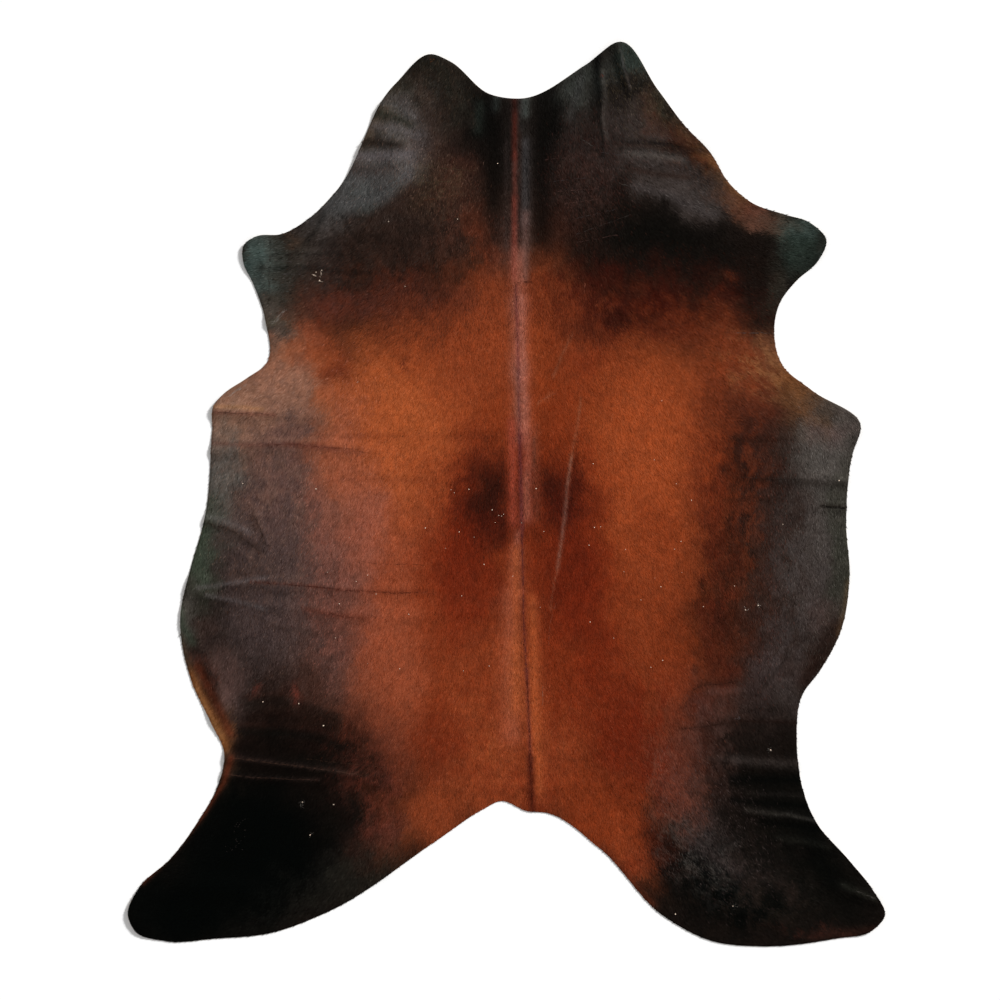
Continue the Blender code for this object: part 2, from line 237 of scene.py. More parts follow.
# Edges and tips that curl off the surface. Columns: name, x, y, reach and height.
CURLED_TIPS = (
    ("left ear", -19.0, 110.0, 5.5, 0.90),
    ("right ear", 28.5, 113.0, 6.0, 1.00),
    ("left neck edge", -37.5, 84.0, 5.0, 0.70),
    ("right neck edge", 51.0, 85.3, 5.5, 0.60),
    ("left fore paw", -65.8, 62.0, 5.5, 0.80),
    ("right fore paw", 80.0, 63.5, 6.0, 0.80),
    ("left elbow", -73.0, 22.5, 4.0, 0.50),
    ("right elbow", 88.6, 16.5, 5.5, 0.70),
    ("left belly", -81.4, -31.0, 4.5, 0.50),
    ("right belly", 85.8, -20.0, 4.5, 0.45),
    ("left stifle", -73.8, -57.0, 4.0, 0.40),
    ("right thigh", 72.6, -62.0, 4.0, 0.40),
    ("left hock", -94.5, -105.5, 6.5, 0.85),
    ("right hock", 94.6, -105.2, 6.5, 0.90),
)

# Which way the hair lies. Columns: place, x, y, heading in degrees (0 is +X, 90 is +Y).
HAIR_LAY = (
    ("nape", 3, 96, -90),
    ("left ear", -20, 104, -110),
    ("left cheek", -30, 84, -115),
    ("left neck", -14, 72, -100),
    ("right ear", 28, 108, -75),
    ("right cheek", 46, 84, -40),
    ("right neck", 18, 76, -70),
    ("left fore paw", -62, 60, -165),
    ("right fore paw", 76, 64, -12),
    ("left shoulder", -42, 50, -135),
    ("right shoulder", 46, 52, -45),
    ("left elbow", -60, 26, -135),
    ("right elbow", 70, 30, -35),
    ("withers", 3, 40, -90),
    ("left lobe", -28, 14, -112),
    ("right lobe", 34, 14, -68),
    ("left flank", -62, 0, -112),
    ("right flank", 76, 0, -82),
    ("left belly", -74, -28, -105),
    ("right belly", 80, -26, -84),
    ("loin", 3, -30, -90),
    ("left rump", -30, -50, -110),
    ("right rump", 36, -50, -70),
    ("left thigh", -62, -72, -128),
    ("right thigh", 62, -74, -58),
    ("left hock", -86, -102, -155),
    ("right hock", 84, -102, -42),
    ("tail root", 5, -74, -90),
)
LAY_REACH = 9 * CM  # how far a place has a say over the lay

# The coat's colours, in sRGB from 0 to 255.
COAT_COLOURS = {
    # Fawns and reds.
    "fawn": (160, 79, 41),
    "tan": (147, 67, 33),
    "sienna": (130, 58, 30),
    "chestnut": (122, 49, 22),
    "auburn": (108, 46, 24),
    "red brown": (102, 32, 14),
    "rust": (88, 38, 21),
    "russet": (74, 28, 16),
    "oxblood": (56, 17, 10),
    "bronze": (112, 66, 34),
    "straw": (150, 104, 64),
    "hay": (126, 84, 56),
    # Pinks and purples.
    "pink": (150, 88, 72),
    "salmon": (134, 76, 57),
    "sand": (150, 102, 80),
    "dun": (138, 98, 78),
    "coral": (142, 62, 44),
    "brick": (124, 56, 44),
    "rose tan": (142, 71, 46),
    "clay": (116, 63, 47),
    "rose brown": (100, 50, 37),
    "liver": (82, 42, 33),
    "wine": (82, 36, 38),
    "mauve": (92, 66, 60),
    "plum": (62, 50, 48),
    # Pales, greys and greens.
    "lint": (236, 212, 190),
    "pale": (160, 150, 142),
    "dove": (84, 78, 78),
    "ash": (82, 77, 72),
    "slate": (66, 65, 64),
    "smoke": (62, 54, 51),
    "grey blue": (62, 60, 62),
    "sea grey": (58, 63, 59),
    "green grey": (56, 59, 50),
    "sea green": (64, 78, 74),
    "teal": (40, 50, 44),
    "lichen": (58, 66, 54),
    "sage": (52, 52, 44),
    "moss": (40, 40, 33),
    "khaki": (88, 74, 54),
    "olive": (98, 72, 46),
    # Browns and black.
    "cocoa": (57, 30, 23),
    "umber": (47, 33, 27),
    "bistre": (34, 18, 12),
    "peat": (20, 11, 8),
    "dark brown": (25, 18, 14),
    "soot": (13, 12, 9),
    "black": (2, 4, 3),
}
GROUND = "dark brown"  # under all the rest

# Areas of colour, painted in this order. Columns: name, middle (x, y), half length, half width,
# turn of the length from +X in degrees, colour, cover, edge (2 is soft, 6 is crisp).
PATCHES = (
    # The back.
    ("saddle", 3, -15, 78, 51, 90, "chestnut", 1.0, 6),
    ("left lobe", -27, 14, 27, 22, 94, "fawn", 0.95, 3),
    ("left lobe side", -43, 6, 24, 7, 90, "salmon", 0.85, 3),
    ("left lobe low", -30, -26, 26, 13, 86, "rose tan", 0.85, 3),
    ("left lobe low side", -38, -32, 24, 6, 86, "clay", 0.7, 3),
    ("left rump", -27, -48, 16, 10, 85, "rose tan", 0.6, 3),
    ("right lobe", 36, 9, 32, 16, 90, "tan", 1.0, 3.5),
    ("right lobe dusk", 38, -10, 9, 6, 90, "chestnut", 0.55, 2.5),
    ("right thigh lobe", 35, -34, 26, 10, 92, "sienna", 0.4, 3),
    ("withers left", -8, 38, 16, 14, 90, "sienna", 0.9, 3),
    ("withers right", 20, 36, 7, 12, 0, "sienna", 0.6, 3),
    ("left loin", -11, -20, 24, 9, 90, "red brown", 0.9, 3),
    ("right loin", 16, -22, 30, 9, 90, "red brown", 0.9, 3),
    ("right rump", 26, -50, 18, 8, 105, "red brown", 0.5, 3),
    ("left kidney wide", -8, 2, 14, 10, 90, "red brown", 0.45, 2.5),
    ("left kidney", -4, 0, 11, 6.5, 95, "oxblood", 0.8, 2),
    ("left kidney core", -3.4, 0, 8, 3.2, 95, "bistre", 0.35, 2),
    ("left kidney arm", -6.2, 3.4, 4, 3.4, 0, "bistre", 0.4, 2),
    ("left kidney side", -12.5, 2.5, 1.4, 0.9, 0, "oxblood", 0.4, 2),
    ("left kidney low", -5, -9, 6, 6, 90, "oxblood", 0.3, 2.5),
    ("right kidney", 11.6, 2, 7, 4.6, 90, "oxblood", 0.65, 2),
    ("right kidney core", 10.4, 3, 3, 2.2, 90, "bistre", 0.25, 2),
    ("right kidney low", 14, -5, 6, 4, 90, "oxblood", 0.55, 2),
    ("rump middle", -6, -52, 26, 12, 90, "sienna", 0.85, 3),
    ("tail head", 0, -70, 10, 14, 0, "sienna", 0.8, 3),
    ("right tail head", 14, -66, 12, 6, 90, "sienna", 0.8, 3),
    ("left inner leg", -20, -80, 14, 8, 30, "sienna", 0.85, 3),
    ("left rump red", -17, -62, 8, 7, 90, "red brown", 0.35, 2.5),
    ("left inner leg tip", -35, -84, 8, 5, 70, "liver", 0.6, 2.5),
    ("right inner leg", 26, -82, 16, 10, 128, "chestnut", 0.95, 3),
    ("right rump red", 30, -64, 12, 6, 96, "red brown", 0.6, 2.5),
    # The shoulders.
    ("left shoulder", -28, 64, 9, 34, 96, "umber", 0.9, 4),
    ("left shoulder dim", -27, 66, 6, 8, 90, "bistre", 0.5, 2.5),
    ("left shoulder hem", -30, 48, 6, 24, 92, "liver", 0.6, 2.5),
    ("left shoulder fringe", -26, 39, 4, 12, 90, "rust", 0.3, 2.5),
    ("left shoulder edge", -45, 55, 4, 12, 100, "umber", 0.5, 2.5),
    ("left shoulder brown", -45, 47, 4, 8, 100, "liver", 0.7, 2.5),
    ("right shoulder", 41, 60, 10, 36, 88, "dark brown", 0.95, 3.5),
    ("right shoulder hem", 30, 47, 8, 22, 90, "russet", 0.8, 3),
    ("right shoulder fringe", 49, 43, 5, 12, 90, "auburn", 0.7, 2.5),
    ("right shoulder spot", 27, 44, 2.5, 8, 95, "bistre", 0.45, 2),
    ("right shoulder low", 26, 52, 4, 7, 92, "bistre", 0.5, 2.5),
    ("nape tongue", -5, 53, 12, 5.5, 98, "sienna", 0.75, 2.5),
    ("nape tongue top", -5, 61, 7, 3.5, 100, "rust", 0.6, 2),
    ("nape tongue right", 9, 53, 11, 5.5, 85, "sienna", 0.6, 2),
    ("right shoulder ember", 54, 54.5, 1.5, 2.5, 90, "auburn", 0.6, 2),
    ("right armpit", 59, 27, 15, 12, 115, "auburn", 0.95, 3),
    ("right armpit tan", 58, 31, 11, 8, 120, "sienna", 0.95, 3),
    ("right lobe top", 46, 29, 9, 8, 90, "tan", 0.5, 2.5),
    ("right armpit dark", 65.5, 41.5, 4.5, 3, 80, "dark brown", 0.85, 2.5),
    ("right armpit hair", 67, 33, 7, 5, 135, "hay", 0.75, 2.5),
    ("right elbow", 73, 27, 8, 5, 150, "bronze", 0.95, 2.5),
    ("right elbow rim", 82, 23.4, 6, 2.0, 152, "moss", 0.8, 2.5),
    ("right elbow low", 83, 17, 6, 5, 120, "ash", 0.6, 3),
    ("left armpit", -49, 35, 9, 9, 120, "sienna", 0.8, 3),
    ("left armpit rim", -57, 36, 8, 4, 90, "hay", 0.6, 2.5),
    ("left armpit glow", -54, 32, 10, 8, 100, "fawn", 0.6, 2.5),
    ("left lobe top", -37, 28, 8, 8, 90, "fawn", 0.5, 2.5),
    ("left armpit tan", -52, 40, 5, 5, 90, "rose tan", 0.6, 2.5),
    # The neck.
    ("poll", 3, 93, 14, 10, 0, "dark brown", 0.7, 3),
    ("left ear", -17, 101, 12, 11, 60, "moss", 0.7, 3),
    ("left neck brown", -14, 79, 10, 7, 120, "cocoa", 0.6, 2.5),
    # left neck grey, silver, low and foot: slate and ash painted sheen on the left neck's wave.
    ("left neck grey", -31, 85, 15, 9, 62, "slate", 0.75, 3),
    ("left neck silver", -26, 90, 11, 4.5, 100, "ash", 0.6, 2.5),
    ("left neck low", -39, 75, 10, 6, 45, "slate", 0.95, 3),
    ("left neck foot", -46, 66, 7, 5, 55, "slate", 0.55, 2.5),
    ("left ear rim", -30, 98, 6, 2, 55, "khaki", 0.35, 2.5),
    ("left cheek rim", -35, 90, 6, 2.5, 65, "olive", 0.45, 2.5),
    ("left cheek streaks", -27, 93, 6, 8, 90, "dove", 0.3, 2.5),
    ("left speckle", -18, 78, 7, 6, 130, "khaki", 0.2, 2.5),
    ("left shoulder dark", -26, 68, 12, 6, 160, "umber", 0.8, 3),
    ("left throat", -20, 71, 5, 4, 0, "umber", 0.5, 2.5),
    ("left nape glow", -6, 64, 8, 4, 105, "rust", 0.75, 2.5),
    ("left ear black", -6, 94, 7, 4, 90, "black", 0.55, 2.5),
    ("right ear", 28, 106, 8, 7, 80, "sea grey", 0.5, 3),
    ("right ear left", 18, 99, 9, 5, 75, "sea grey", 0.6, 2.5),
    ("right ear tip", 31, 107, 7, 3, 110, "teal", 0.7, 3),
    ("right ear base", 30, 101, 3, 7, 90, "dark brown", 0.6, 2.5),
    ("right nape black", 11, 95, 8, 3.5, 90, "black", 0.5, 2.5),
    ("right neck middle", 20, 83, 12, 9, 80, "plum", 0.45, 3),
    ("right neck red", 13, 68, 8, 5, 90, "cocoa", 0.4, 2.5),
    ("right cheek", 34, 90, 9, 9, 120, "smoke", 0.75, 3),
    ("right cheek brown", 41, 92, 8, 3.5, 130, "rust", 0.25, 2.5),
    ("right cheek rim", 41, 97, 9, 2, 120, "moss", 0.7, 2.5),
    # right neck sheen and right neck fold: smoke painted sheen across the right neck's folds.
    ("right neck sheen", 42, 75, 14, 5, 152, "smoke", 0.85, 3.5),
    ("right neck fold", 38, 83, 12, 3, 172, "smoke", 0.6, 2.5),
    ("right neck rim", 49, 85, 9, 3, 122, "rust", 0.6, 2.5),
    ("right neck rim edge", 53, 81, 9, 2.6, 124, "bronze", 0.85, 2.5),
    ("right neck rim low", 60, 71.5, 9, 2.6, 155, "clay", 0.6, 2.5),
    ("right shoulder top", 38, 65, 18, 5.5, 165, "soot", 0.75, 3),
    ("nape side", 0, 62, 9, 5, 90, "mauve", 0.3, 2.5),
    # The forelegs.
    ("left foreleg", -61, 57, 12, 6, 95, "sea grey", 0.95, 4),
    ("left foreleg tip", -63.8, 55, 11, 3.4, 98, "sea green", 0.8, 2.5),
    ("left foreleg root", -53, 57, 9, 6, 100, "moss", 0.6, 3),
    ("left foreleg rim", -54, 64.8, 1.2, 4, 80, "hay", 0.25, 2),
    ("left foreleg foot", -56, 47, 4.5, 3.4, 110, "moss", 0.7, 3),
    ("right foreleg", 75, 62, 10, 7, 90, "teal", 0.9, 3),
    ("right foreleg tip", 75, 67, 4, 6, 90, "sea green", 0.5, 2.5),
    ("right foreleg root", 66, 68.5, 3, 6, 80, "dun", 0.4, 2.5),
    ("right foreleg shade", 67, 60, 8, 3, 90, "dark brown", 0.6, 2.5),
    ("right foreleg side", 68, 50, 7, 3, 90, "sage", 0.6, 3),
    # The left flank. Its mauve (left flank) is painted sheen, light given back by the lying hair.
    ("left flank", -56, -4, 42, 12, 92, "mauve", 1.0, 4),
    ("left flank hem", -48, -18, 36, 5, 88, "clay", 0.4, 2.5),
    ("left flank low", -62, -28, 20, 13, 90, "plum", 0.9, 3),
    ("left elbow", -57, 23, 6, 11, 75, "dun", 0.7, 2.5),
    ("left elbow tip", -68, 19, 11, 7, 90, "dun", 1.0, 3),
    ("left armpit warmth", -54, 34, 5, 7, 100, "fawn", 0.4, 2.5),
    ("left rim ash", -71, 3, 15, 5.5, 92, "ash", 0.95, 3),
    ("left rim sage", -77, -14, 14, 6, 82, "lichen", 0.9, 3),
    ("left rim low", -83, -33, 9, 4, 80, "ash", 0.7, 3),
    ("left belly mauve", -44, -40, 14, 5, 95, "plum", 0.45, 2.5),
    ("left belly dusk", -42, -30, 20, 4.5, 90, "rose brown", 0.45, 2.5),
    ("left belly rose", -38, -8, 22, 6, 88, "salmon", 0.45, 2.5),
    ("left flank foot", -55, -58, 9, 14, 96, "bistre", 0.85, 2.6),
    ("left stifle", -68, -50, 9, 4, 108, "plum", 0.5, 2.5),
    ("left groin rim", -70.4, -65.5, 11, 4, 95, "hay", 0.8, 3),
    ("left groin grey", -69.5, -46, 7, 3.5, 105, "mauve", 0.5, 2.5),
    ("left thigh", -34, -65, 10, 11, 90, "rose brown", 0.6, 3),
    # The hind legs.
    ("left hind black", -63, -88, 21, 23, 100, "black", 1.0, 4.5),
    ("left hind foot", -80, -103, 22, 12, 12, "black", 1.0, 4),
    ("left groin dark", -54, -66, 14, 9, 175, "peat", 0.9, 3),
    ("left hind inside", -38, -69, 9, 8, 90, "bistre", 0.85, 3),
    ("left hind inside low", -45, -76, 8, 6, 100, "peat", 0.75, 2.5),
    ("left hind sole", -38, -97, 13, 6, 32, "moss", 0.4, 2.5),
    ("left groin ember", -53, -49.6, 1.6, 1.4, 0, "brick", 0.75, 2),
    ("left groin spot", -62.4, -49.6, 1.4, 1.1, 0, "brick", 0.45, 2),
    ("right hind", 66, -86, 24, 22, 120, "dark brown", 0.95, 5),
    ("right hind outside", 74, -85, 22, 10, 120, "soot", 0.9, 3),
    ("right hind foot", 80, -102, 14, 10, 160, "soot", 0.5, 3),
    ("right hind grey", 49, -84, 10, 6, 115, "plum", 0.6, 3),
    ("right hind brown", 42, -75, 9, 6, 100, "rose brown", 0.7, 2.5),
    ("right hind black", 45, -94, 8, 6, 60, "soot", 0.7, 2.5),
    ("right inner tan", 32.5, -92, 9, 5, 125, "sienna", 0.75, 2.5),
    ("right sole grey", 64, -96, 12, 6, 150, "smoke", 0.3, 2.5),
    ("right hock black", 79, -92, 12, 4, 122, "black", 0.6, 2.5),
    # The right flank. Its smoke and ash (right flank grey, ash and ash low) are painted sheen, light
    # given back by the lying hair.
    ("right flank dark", 62, -2, 38, 8.5, 92, "cocoa", 0.85, 2.2),
    ("right flank hem", 52, -2, 34, 5, 90, "auburn", 0.6, 2.5),
    ("right flank ember", 58, -24, 20, 5, 88, "rust", 0.75, 2.5),
    ("right flank ember low", 54, -38, 12, 6, 80, "rust", 0.6, 2.5),
    ("right flank grey", 77, -17, 26, 12, 86, "smoke", 0.9, 2.4),
    ("right flank tail", 78, -42, 6, 6, 60, "umber", 0.6, 2.5),
    ("right flank ash", 80, 10, 14, 9, 100, "ash", 0.85, 2.4),
    ("right flank ash low", 80, -9, 9, 6, 90, "ash", 0.4, 2.5),
    ("right flank rim", 85, -14, 22, 3.5, 90, "sage", 0.8, 3),
    ("right blotch high", 57, -9, 3.5, 1.6, 120, "bistre", 0.5, 2),
    ("right blotch", 57, -16, 3, 1.6, 60, "russet", 0.6, 2),
    ("right blotch inner", 48, -23, 2, 1.2, 70, "bistre", 0.6, 2),
    ("right blotch inner low", 48.5, -27.5, 1.8, 1.2, 90, "bistre", 0.5, 2),
    ("right blotch low", 51, -37, 5, 2, 75, "russet", 0.5, 2),
    ("right blotch foot", 55, -44, 4, 2.5, 60, "russet", 0.5, 2),
    ("right blotch top", 58, 8, 7, 2, 95, "bistre", 0.3, 2),
    ("right stifle", 50, -60, 12, 7, 80, "liver", 0.5, 2.5),
    ("right stifle dark", 58, -63, 7, 6, 90, "dark brown", 0.6, 2.5),
    ("right thigh pink", 41, -67, 11, 6, 90, "rose brown", 0.6, 3),
    ("left armpit smudge", -43.5, 32, 4.5, 2.6, 55, "russet", 0.5, 2),
    ("left lobe dot", -24, 32.5, 0.8, 0.8, 0, "oxblood", 0.8, 2),
    ("left flank rose high", -47, -8, 14, 3, 92, "pink", 0.35, 2.5),
    ("left flank rose low", -42, -18, 10, 3, 88, "pink", 0.3, 2.5),
    ("right stifle grey", 66, -46, 11, 8.5, 80, "plum", 0.75, 3),
    ("right stifle rim", 73, -51, 7, 4, 100, "smoke", 0.6, 2.5),
    ("right stifle mauve", 52, -53, 6, 7, 60, "mauve", 0.35, 2.5),
    ("right stifle rose", 42, -50, 8, 5, 90, "brick", 0.3, 2.5),
    # Lights and shades over them.
    ("left loin glow", -18, -26, 12, 4, 90, "sienna", 0.4, 2.5),
    ("left belly glow", -43, 9, 14, 5.5, 92, "fawn", 0.32, 2.5),
    ("left lobe bloom", -34.5, -8, 12, 4, 88, "pink", 0.38, 2.5),
    ("left belly shade", -43.5, -30, 22, 6.5, 90, "plum", 0.42, 3),
    ("left flank shade", -62, -16, 13, 8.5, 95, "plum", 0.7, 2.5),
    ("left rim rose", -73.5, -45, 7, 3, 112, "mauve", 0.4, 2.5),
    ("left inner dusk", -29, -83.5, 4, 6, 30, "liver", 0.6, 2.5),
    ("left shoulder band", -24, 51.5, 5, 11, 92, "cocoa", 0.65, 2.5),
    ("left shoulder low", -20, 44.5, 3, 9, 92, "rust", 0.35, 2.5),
    ("left nape dusk", -11, 80.5, 3.5, 4, 90, "cocoa", 0.5, 2.5),
    ("left ear dusk", -18.6, 97, 6, 3.5, 80, "dark brown", 0.5, 2.5),
    ("left foreleg heel", -58.5, 44.5, 3, 3.2, 100, "ash", 0.45, 2.5),
    ("left foreleg back", -58.5, 40.2, 3.6, 3.6, 100, "green grey", 0.85, 2.5),
    ("left armpit dusk", -52, 44.5, 3, 4.5, 100, "umber", 0.5, 2.5),
    ("left armpit pale", -58.5, 35, 3.5, 3, 90, "dun", 0.5, 2.5),
    ("left elbow sand", -57, 28, 5, 10, 80, "sand", 0.85, 3),
    ("right nape dusk", 18.5, 74, 7, 8, 80, "dark brown", 0.5, 2.5),
    ("right ear sheen", 15.5, 101.5, 9, 4, 25, "sea grey", 0.45, 2.5),
    ("right shoulder dusk", 24, 53.5, 3.5, 7, 92, "oxblood", 0.5, 2.5),
    ("right shoulder red", 38, 48.5, 3.5, 6, 90, "oxblood", 0.6, 2.5),
    ("right shoulder edge", 56, 50.5, 3.5, 5, 90, "oxblood", 0.4, 2.5),
    ("right armpit glow", 60, 32, 8, 5, 105, "sienna", 0.55, 2.5),
    ("right hem glow", 51.5, 4, 12, 4.8, 92, "chestnut", 0.65, 2.5),
    ("right lobe side", 48, 5, 13, 3, 92, "sienna", 0.5, 2.5),
    ("right flank edge", 61.5, -12, 14, 3.5, 90, "umber", 0.45, 2.5),
    ("right elbow warmth", 74.5, 19.5, 6, 4, 150, "bronze", 0.5, 2.5),
    ("right elbow pale", 81, 15.5, 4, 3.6, 120, "mauve", 0.5, 2.5),
    ("right thigh glow", 41, -42, 14, 6, 90, "chestnut", 0.55, 3),
    ("rump glow", 14.5, -44, 10, 5, 90, "chestnut", 0.6, 2.5),
    ("right inner wine", 39, -90, 9, 3.5, 125, "oxblood", 0.5, 2.5),
    ("right ear outer", 38, 98, 5, 4, 120, "khaki", 0.25, 2.5),
    ("right ear haze", 32, 106, 4, 4, 100, "sea grey", 0.3, 2.5),
    ("left foreleg haze", -49, 56, 7, 7, 100, "plum", 0.35, 2.5),
    ("left nape haze", -13, 68, 10, 6, 100, "rose brown", 0.2, 2.5),
    ("left cheek haze", -16, 87, 5, 7, 90, "mauve", 0.15, 2.5),
    ("left wave haze", -31, 73, 5, 9, 125, "slate", 0.35, 2.5),
    ("right foot haze", 65, -104, 9, 4, 160, "moss", 0.25, 2.5),
    ("right thigh ember", 32, -75, 6, 4, 95, "chestnut", 0.45, 2.5),
    ("left thigh ember", -33, -76, 6, 3.5, 90, "rust", 0.4, 2.5),
    ("left loin top", -20, 3, 10, 4, 90, "sienna", 0.35, 2.5),
    ("withers glow", 8.5, 36, 15, 3.5, 90, "tan", 0.35, 2.5),
    ("right rim tan", 80, -30, 6, 4, 100, "mauve", 0.3, 2.5),
    ("left rim dusk", -76, -33, 4, 3, 100, "mauve", 0.3, 2.5),
    ("left thigh dusk", -28, -81, 4.5, 4, 90, "bistre", 0.28, 2.5),
    ("left belly plum", -40, -45, 5, 4.5, 90, "plum", 0.32, 2.5),
    ("left flank umber", -64, -21, 5, 5, 90, "umber", 0.35, 2.5),
    ("left foreleg plum", -57.6, 38.6, 2.6, 3, 90, "plum", 0.5, 2.5),
    ("left wave sheen", -34, 79, 6, 4, 110, "dove", 0.36, 2.5),
    ("left loin red", -5, -21, 5, 3, 90, "red brown", 0.35, 2.5),
    ("left groin deep", -53, -69, 3, 8, 90, "black", 0.4, 2.5),
    ("tail glow", -4, -63, 4, 4, 90, "fawn", 0.3, 2.5),
    ("tail dusk", 8, -76, 5, 4, 90, "red brown", 0.5, 2.5),
    ("right cheek sheen", 44, 80, 4, 4, 120, "dove", 0.2, 2.5),
    ("right cheek moss", 48, 90, 10, 3, 125, "moss", 0.35, 2.5),
    ("right cheek olive", 57, 79, 6, 2.6, 125, "olive", 0.4, 2.5),
    ("right cheek slate", 50, 76, 7, 4, 135, "slate", 0.4, 2.5),
    ("right hem dusk", 62, -2, 5, 4, 90, "umber", 0.35, 2.5),
    ("left lobe inner", -22, -3, 5, 4, 90, "sienna", 0.35, 2.5),
    ("left loin deep", -10, -27, 4, 4, 90, "red brown", 0.3, 2.5),
    ("left elbow glow", -46, 21, 4.5, 4, 90, "fawn", 0.35, 2.5),
    ("left lobe red", -16, 9, 5, 4, 90, "sienna", 0.3, 2.5),
    ("left lobe dusk", -28, -21, 5, 4, 90, "auburn", 0.22, 2.5),
    ("left withers dusk", -28, 36, 6, 5, 90, "auburn", 0.25, 2.5),
    ("left ear mauve", -22, 87, 4, 4, 90, "mauve", 0.25, 2.5),
    ("left groin black", -58, -63, 5, 4, 0, "black", 0.3, 2.5),
    ("left elbow inner", -52, 33, 4, 4, 90, "clay", 0.2, 2.5),
    ("right hind deep", 68, -75, 5, 4, 120, "black", 0.3, 2.5),
    ("right thigh foot", 38, -99, 5, 3, 30, "bistre", 0.3, 2.5),
    ("right loin warmth", 11.5, -23, 8, 3, 90, "chestnut", 0.35, 2.5),
    ("left thigh russet", -42, -62, 4, 5, 90, "russet", 0.35, 2.5),
    ("left thigh foot", -28, -85, 4, 3, 40, "cocoa", 0.3, 2.5),
    ("left thigh middle", -27, -66, 4, 4, 90, "rust", 0.25, 2.5),
    ("rump ember", 20, -63, 4, 4, 90, "sienna", 0.3, 2.5),
    ("left nape umber", -8, 76, 6, 3.4, 100, "umber", 0.35, 2.5),
    ("left foreleg sheen", -52, 60, 6, 5, 100, "ash", 0.16, 2.5),
    ("left wave light", -34, 74, 5, 4, 110, "sea green", 0.36, 2.5),
    ("left flank rose", -58, 9, 4, 4, 90, "dun", 0.16, 2.5),
    ("left groin rose", -34, -51, 4, 4, 90, "salmon", 0.2, 2.5),
    ("left rim bronze", -70, -57, 3, 3, 110, "bronze", 0.25, 2.5),
    ("right elbow light", 81, 15, 5, 4, 100, "dove", 0.25, 2.5),
    ("tail inner", -16, -69, 4, 4, 90, "russet", 0.25, 2.5),
    ("withers dusk", 20, 33, 4, 4, 90, "red brown", 0.3, 2.5),
    ("left nape foot", -16, 63, 4, 4, 90, "clay", 0.14, 2.5),
    ("withers warmth", 14, 45, 4, 4, 90, "sienna", 0.3, 2.5),
    ("right lobe inner", 26, 3, 5, 4, 90, "chestnut", 0.35, 2.5),
    ("right thigh red", 44, -51, 4, 4, 90, "chestnut", 0.3, 2.5),
    ("right stifle red", 50, -52, 3.5, 3.5, 90, "oxblood", 0.3, 2.5),
    ("right inner red", 32, -93, 4, 3, 60, "red brown", 0.35, 2.5),
    ("right sole dusk", 56, -93, 5, 4, 130, "black", 0.22, 2.5),
    ("right armpit dusk", 62, 40, 4, 3.5, 110, "bistre", 0.2, 2.5),
    ("right shoulder foot", 50, 45, 4, 3.5, 90, "bistre", 0.22, 2.5),
)

# Stray hairs among the coat's own. Columns: name, middle (x, y), half length, half width, turn,
# colour, share of the locks that stray, and how far the stray colour covers them.
FLECKS = (
    ("left neck hairs", -18, 78, 11, 8, 150, "dun", 0.3, 0.12),
    ("left nape hairs", -10, 68, 14, 7, 110, "clay", 0.28, 0.12),
    ("left cheek hairs", -30, 86, 16, 9, 60, "dun", 0.18, 0.1),
    ("left ear hairs", -20, 100, 14, 10, 60, "olive", 0.22, 0.08),
    ("right neck hairs", 22, 80, 14, 12, 80, "rose brown", 0.35, 0.1),
    ("right ear hairs", 34, 98, 12, 8, 120, "khaki", 0.35, 0.2),
    ("right cheek hairs", 50, 82, 14, 6, 124, "dun", 0.3, 0.08),
    ("left flank pale", -60, 0, 38, 15, 92, "dun", 0.25, 0.12),
    ("left flank dark", -58, -8, 42, 16, 92, "bistre", 0.3, 0.25),
    ("left lobe rose", -40, -6, 38, 10, 88, "pink", 0.3, 0.25),
    ("left lobe shade", -34, -10, 40, 14, 88, "russet", 0.25, 0.2),
    ("right flank pale", 78, -8, 34, 9, 92, "ash", 0.3, 0.2),
    ("right flank brown", 61, -4, 42, 9, 92, "auburn", 0.25, 0.15),
    ("right flank dark", 56, -6, 44, 8, 92, "bistre", 0.3, 0.4),
    ("right hind hairs", 52, -84, 20, 12, 120, "plum", 0.3, 0.3),
    ("right hind black", 46, -90, 18, 12, 120, "black", 0.4, 0.5),
    ("rump hairs", 5, -62, 34, 18, 0, "rose tan", 0.2, 0.2),
    ("rump shade", 5, -55, 40, 22, 0, "russet", 0.2, 0.2),
    ("saddle shade", 4, -4, 50, 42, 90, "red brown", 0.2, 0.2),
    ("left kidney hairs", -6, 0, 14, 13, 90, "bistre", 0.35, 0.4),
    ("right kidney hairs", 13, 1, 12, 10, 90, "bistre", 0.3, 0.4),
    ("left shoulder hairs", -28, 46, 9, 28, 90, "dark brown", 0.35, 0.4),
    ("left shoulder tan", -28, 54, 8, 28, 90, "rust", 0.25, 0.1),
    ("right shoulder hairs", 34, 45, 8, 32, 90, "oxblood", 0.4, 0.4),
    ("right shoulder tan", 30, 55, 8, 28, 90, "rust", 0.3, 0.08),
)

